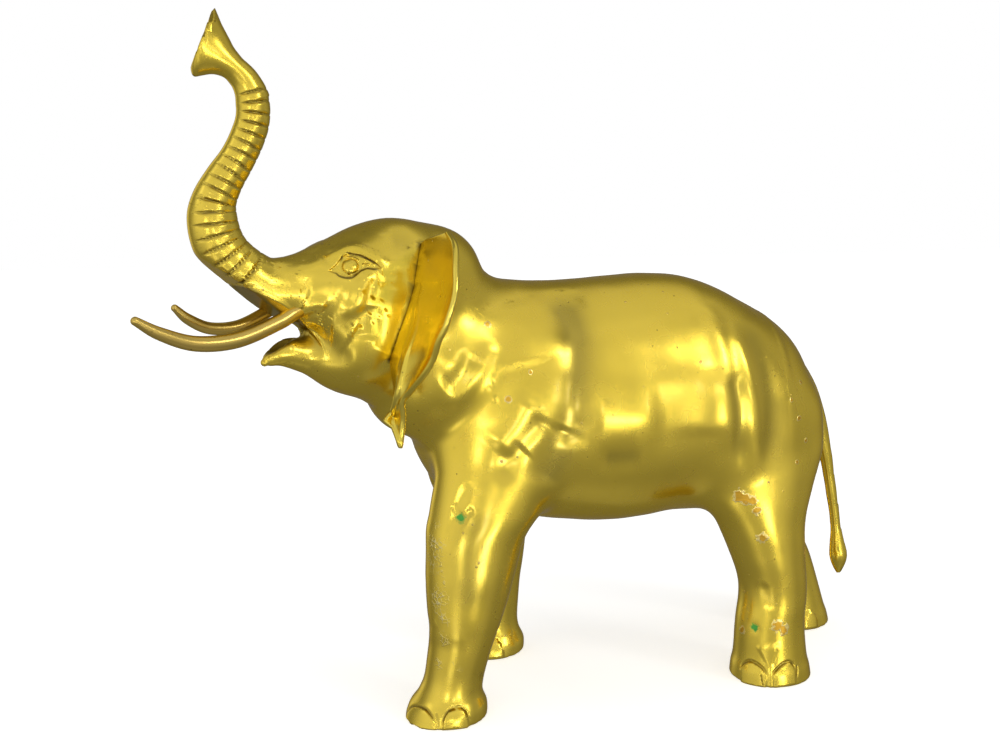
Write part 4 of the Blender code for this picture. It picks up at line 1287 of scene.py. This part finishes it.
def body_brass():
    """The body's brass: darker in its cuts, painted shade in its mouth and hollows, heat tinted by the ears,
    with scars and crust.
    """
    make, colour, satin, normal = polished_brass("body_brass", (0.95, 0.70, 0.078), (0.90, 0.66, 0.066),
                                                 0.22)
    colour = make.blend(make.attribute("tint") * 0.7, colour, (0.82, 0.63, 0.05, 1))
    # Painted shade along the shade strokes and in the hollows.
    colour = make.blend(make.attribute("painted_shade") * 0.75, colour, (0.42, 0.32, 0.05, 1))
    # Painted shade in the mouth.
    mouth = make.attribute("mouth").held()
    colour = make.blend(mouth * 0.85, colour, (0.24, 0.18, 0.04, 1))
    recess = make.attribute("recess")
    colour = make.blend(recess * 0.92, colour, (0.11, 0.07, 0.012, 1))
    ragged = make.noise(320, 3)
    scar = make.spots(SCARS, 0.25, ragged)
    # A pale ring round each scar: a painted highlight on the scar's edge.
    rim = (scar * (1 - scar) * 4).held()
    colour = make.blend(scar * 0.9, colour, (0.80, 0.44, 0.045, 1))
    colour = make.blend(rim * 0.8, colour, (1.0, 0.84, 0.34, 1))
    rust = make.spots(VERDIGRIS, 0.3, ragged)
    colour = make.blend(rust, colour, (0.06, 0.36, 0.05, 1))
    veins = 1 - make.cells(CRUST_CELLS, "DISTANCE_TO_EDGE").ramp(0.03, 0.10)
    crust_and_painted_glint = make.spots(CRUST, 0.5, ragged) * veins * make.noise(90, 2).ramp(0.42, 0.56)
    # The crust's veins are painted paler: partly the crust's own colour, partly a painted highlight for the
    # glint of its raised beads.
    colour = make.blend(crust_and_painted_glint * 0.9, colour, (1.0, 0.86, 0.38, 1))
    satin = satin + mouth * 0.15 + recess * 0.2 + scar * 0.12 + rust * 0.4 + crust_and_painted_glint * 0.1
    raised = scar * ragged + crust_and_painted_glint * 0.6 - rust * ragged
    normal = make.bump(raised, 0.6, 0.0006, normal)
    return make.done(Base_Color=colour, Metallic=1 - rust * 0.8, Roughness=satin, Normal=normal,
                     Coat_Weight=(1 - scar) * 0.35, Coat_Roughness=0.1, Specular_Tint=EDGE_TINT)


def ear_brass():
    """The ears' brass, redder than the body's, dark along the brazed seam, with painted shade along the
    crease.
    """
    make, colour, satin, normal = polished_brass("ear_brass", (0.92, 0.715, 0.11), (0.88, 0.67, 0.08), 0.2)
    # Recess: the brazed seam's dark line, and painted shade along the crease.
    recess = make.attribute("recess")
    colour = make.blend(recess * 0.9, colour, (0.14, 0.08, 0.015, 1))
    return make.done(Base_Color=colour, Metallic=1.0, Roughness=satin, Normal=normal,
                     Coat_Weight=0.2, Coat_Roughness=0.15, Specular_Tint=EDGE_TINT)


def tusk_brass():
    """The tusks' brass, duller and darker."""
    make, colour, satin, normal = polished_brass("tusk_brass", (0.74, 0.52, 0.12), (0.66, 0.47, 0.11), 0.26)
    return make.done(Base_Color=colour, Metallic=1.0, Roughness=satin, Normal=normal,
                     Coat_Weight=0.2, Coat_Roughness=0.2, Specular_Tint=EDGE_TINT)


def pale_floor():
    """A wide plain floor, level with the soles. The metal reflects the surround in its place."""
    bpy.ops.mesh.primitive_plane_add(size=8)
    floor = bpy.context.object
    floor.name = "floor"
    floor.visible_glossy = False
    material = bpy.data.materials.new("pale_floor")
    material.use_nodes = True
    shader = material.node_tree.nodes["Principled BSDF"]
    shader.inputs["Base Color"].default_value = (0.9, 0.9, 0.9, 1)
    shader.inputs["Roughness"].default_value = 0.7
    shader.inputs["Specular IOR Level"].default_value = 0.0
    shader.inputs["Emission Color"].default_value = (1, 1, 1, 1)
    shader.inputs["Emission Strength"].default_value = 0.62
    floor.data.materials.append(material)


# The studio's soft boxes as the metal sees them: how far round from the camera to its right, how high, half
# width and half height, all in degrees, then the soft edge and the brightness.
SOFT_BOXES = [
    (45, 76, 135, 30, 10, 0.50),
    (-12, 14, 82, 38, 18, 0.48),
    (20, 36, 40, 18, 14, 0.14),
    (15, -38, 55, 14, 10, 0.08),
    (70, -72, 60, 14, 8, 0.14),
    (-22, -23, 10, 6, 5, 1.3),
    (-135, 15, 14, 34, 10, 0.7),
    (-48, 16, 24, 34, 14, 0.2),
    (105, 20, 26, 40, 16, 0.2),
    (28, -10, 7, 2.0, 2.5, 18.0),
    (12, 0, 3.5, 2.4, 2.2, 9.0),
    (-15, 1, 4, 4, 3, 9.0),
    (57, 26, 6, 7, 4, 11.0),
    (50, 28, 12, 14, 10, 0.3),
    (40, 3, 2.2, 5, 2.2, 6.0),
    (-75, 36, 12, 10, 8, 0.8),
]
# The dim room's brightness behind the elephant, and how much brighter it is on the camera's side.
ROOM_BASE = 0.23
ROOM_FRONT = 0.10


def studio():
    """A white backdrop for the camera, and for everything else a dim room with bright soft boxes in it."""
    world = bpy.data.worlds.new("studio")
    bpy.context.scene.world = world
    world.use_nodes = True
    tree = world.node_tree
    tree.nodes.clear()
    out = tree.nodes.new("ShaderNodeOutputWorld")
    coordinates = tree.nodes.new("ShaderNodeTexCoord")
    right, forward, up = view_axes()
    ahead = np.array((-forward[0], -forward[1], 0)) / math.hypot(forward[0], forward[1])

    def along(axis):
        node = tree.nodes.new("ShaderNodeVectorMath")
        node.operation = "DOT_PRODUCT"
        tree.links.new(coordinates.outputs["Generated"], node.inputs[0])
        node.inputs[1].default_value = tuple(axis)
        return Worth(tree, node.outputs["Value"])

    rise = along((0, 0, 1))
    front = along(ahead)
    around = rise.join("ARCTAN2", along(right), front) * math.degrees(1)
    height = rise.join("ARCSINE", rise, 0.0) * math.degrees(1)
    glow = (front * 0.5 + 0.5) * ROOM_FRONT + ROOM_BASE
    for turn, lift, half_wide, half_high, edge, power in SOFT_BOXES:
        wide = 1 - (around - turn).size().ramp(half_wide - edge, half_wide + edge)
        high = 1 - (height - lift).size().ramp(half_high - edge, half_high + edge)
        glow = glow + (wide * high).power(1.5) * power
    room = tree.nodes.new("ShaderNodeBackground")
    tree.links.new(glow.socket, room.inputs["Strength"])
    backdrop = tree.nodes.new("ShaderNodeBackground")
    backdrop.inputs["Color"].default_value = (1, 1, 1, 1)
    path = tree.nodes.new("ShaderNodeLightPath")
    mix = tree.nodes.new("ShaderNodeMixShader")
    tree.links.new(path.outputs["Is Camera Ray"], mix.inputs[0])
    tree.links.new(room.outputs[0], mix.inputs[1])
    tree.links.new(backdrop.outputs[0], mix.inputs[2])
    tree.links.new(mix.outputs[0], out.inputs[0])
    world.cycles.sampling_method = "MANUAL"
    world.cycles.sample_map_resolution = 1024


def set_camera():
    """The camera at the photograph's place, angle and field."""
    right, forward, up = view_axes()
    lens = bpy.data.cameras.new("view")
    lens.sensor_width = 36
    lens.lens = 36 * FOCAL / (2 * MIDDLE[0])
    lens.clip_start = 0.01
    thing = bpy.data.objects.new("view", lens)
    bpy.context.scene.collection.objects.link(thing)
    place = placed(np.array(VIEW_AIM) - VIEW_AWAY * forward)
    thing.matrix_world = [(*column, 0) for column in (right, up, -forward)] + [(*place, 1)]
    bpy.context.scene.camera = thing


def dress(thing, node, material):
    """A finished piece: its material, fastened to the root, and the node it stands for, which is hidden."""
    thing.data.materials.append(material)
    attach(thing, "root")
    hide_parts(node)


dress(make_body(), "body", body_brass())
dress(make_ear("near_ear"), "ear_left", ear_brass())
dress(make_ear("far_ear", True), "ear_right", ear_brass())
dress(make_tusk("near_tusk", NEAR_TUSK), "tusk_left", tusk_brass())
dress(make_tusk("far_tusk", FAR_TUSK), "tusk_right", tusk_brass())
pale_floor()
studio()
set_camera()
bpy.context.scene.view_settings.view_transform = "Standard"
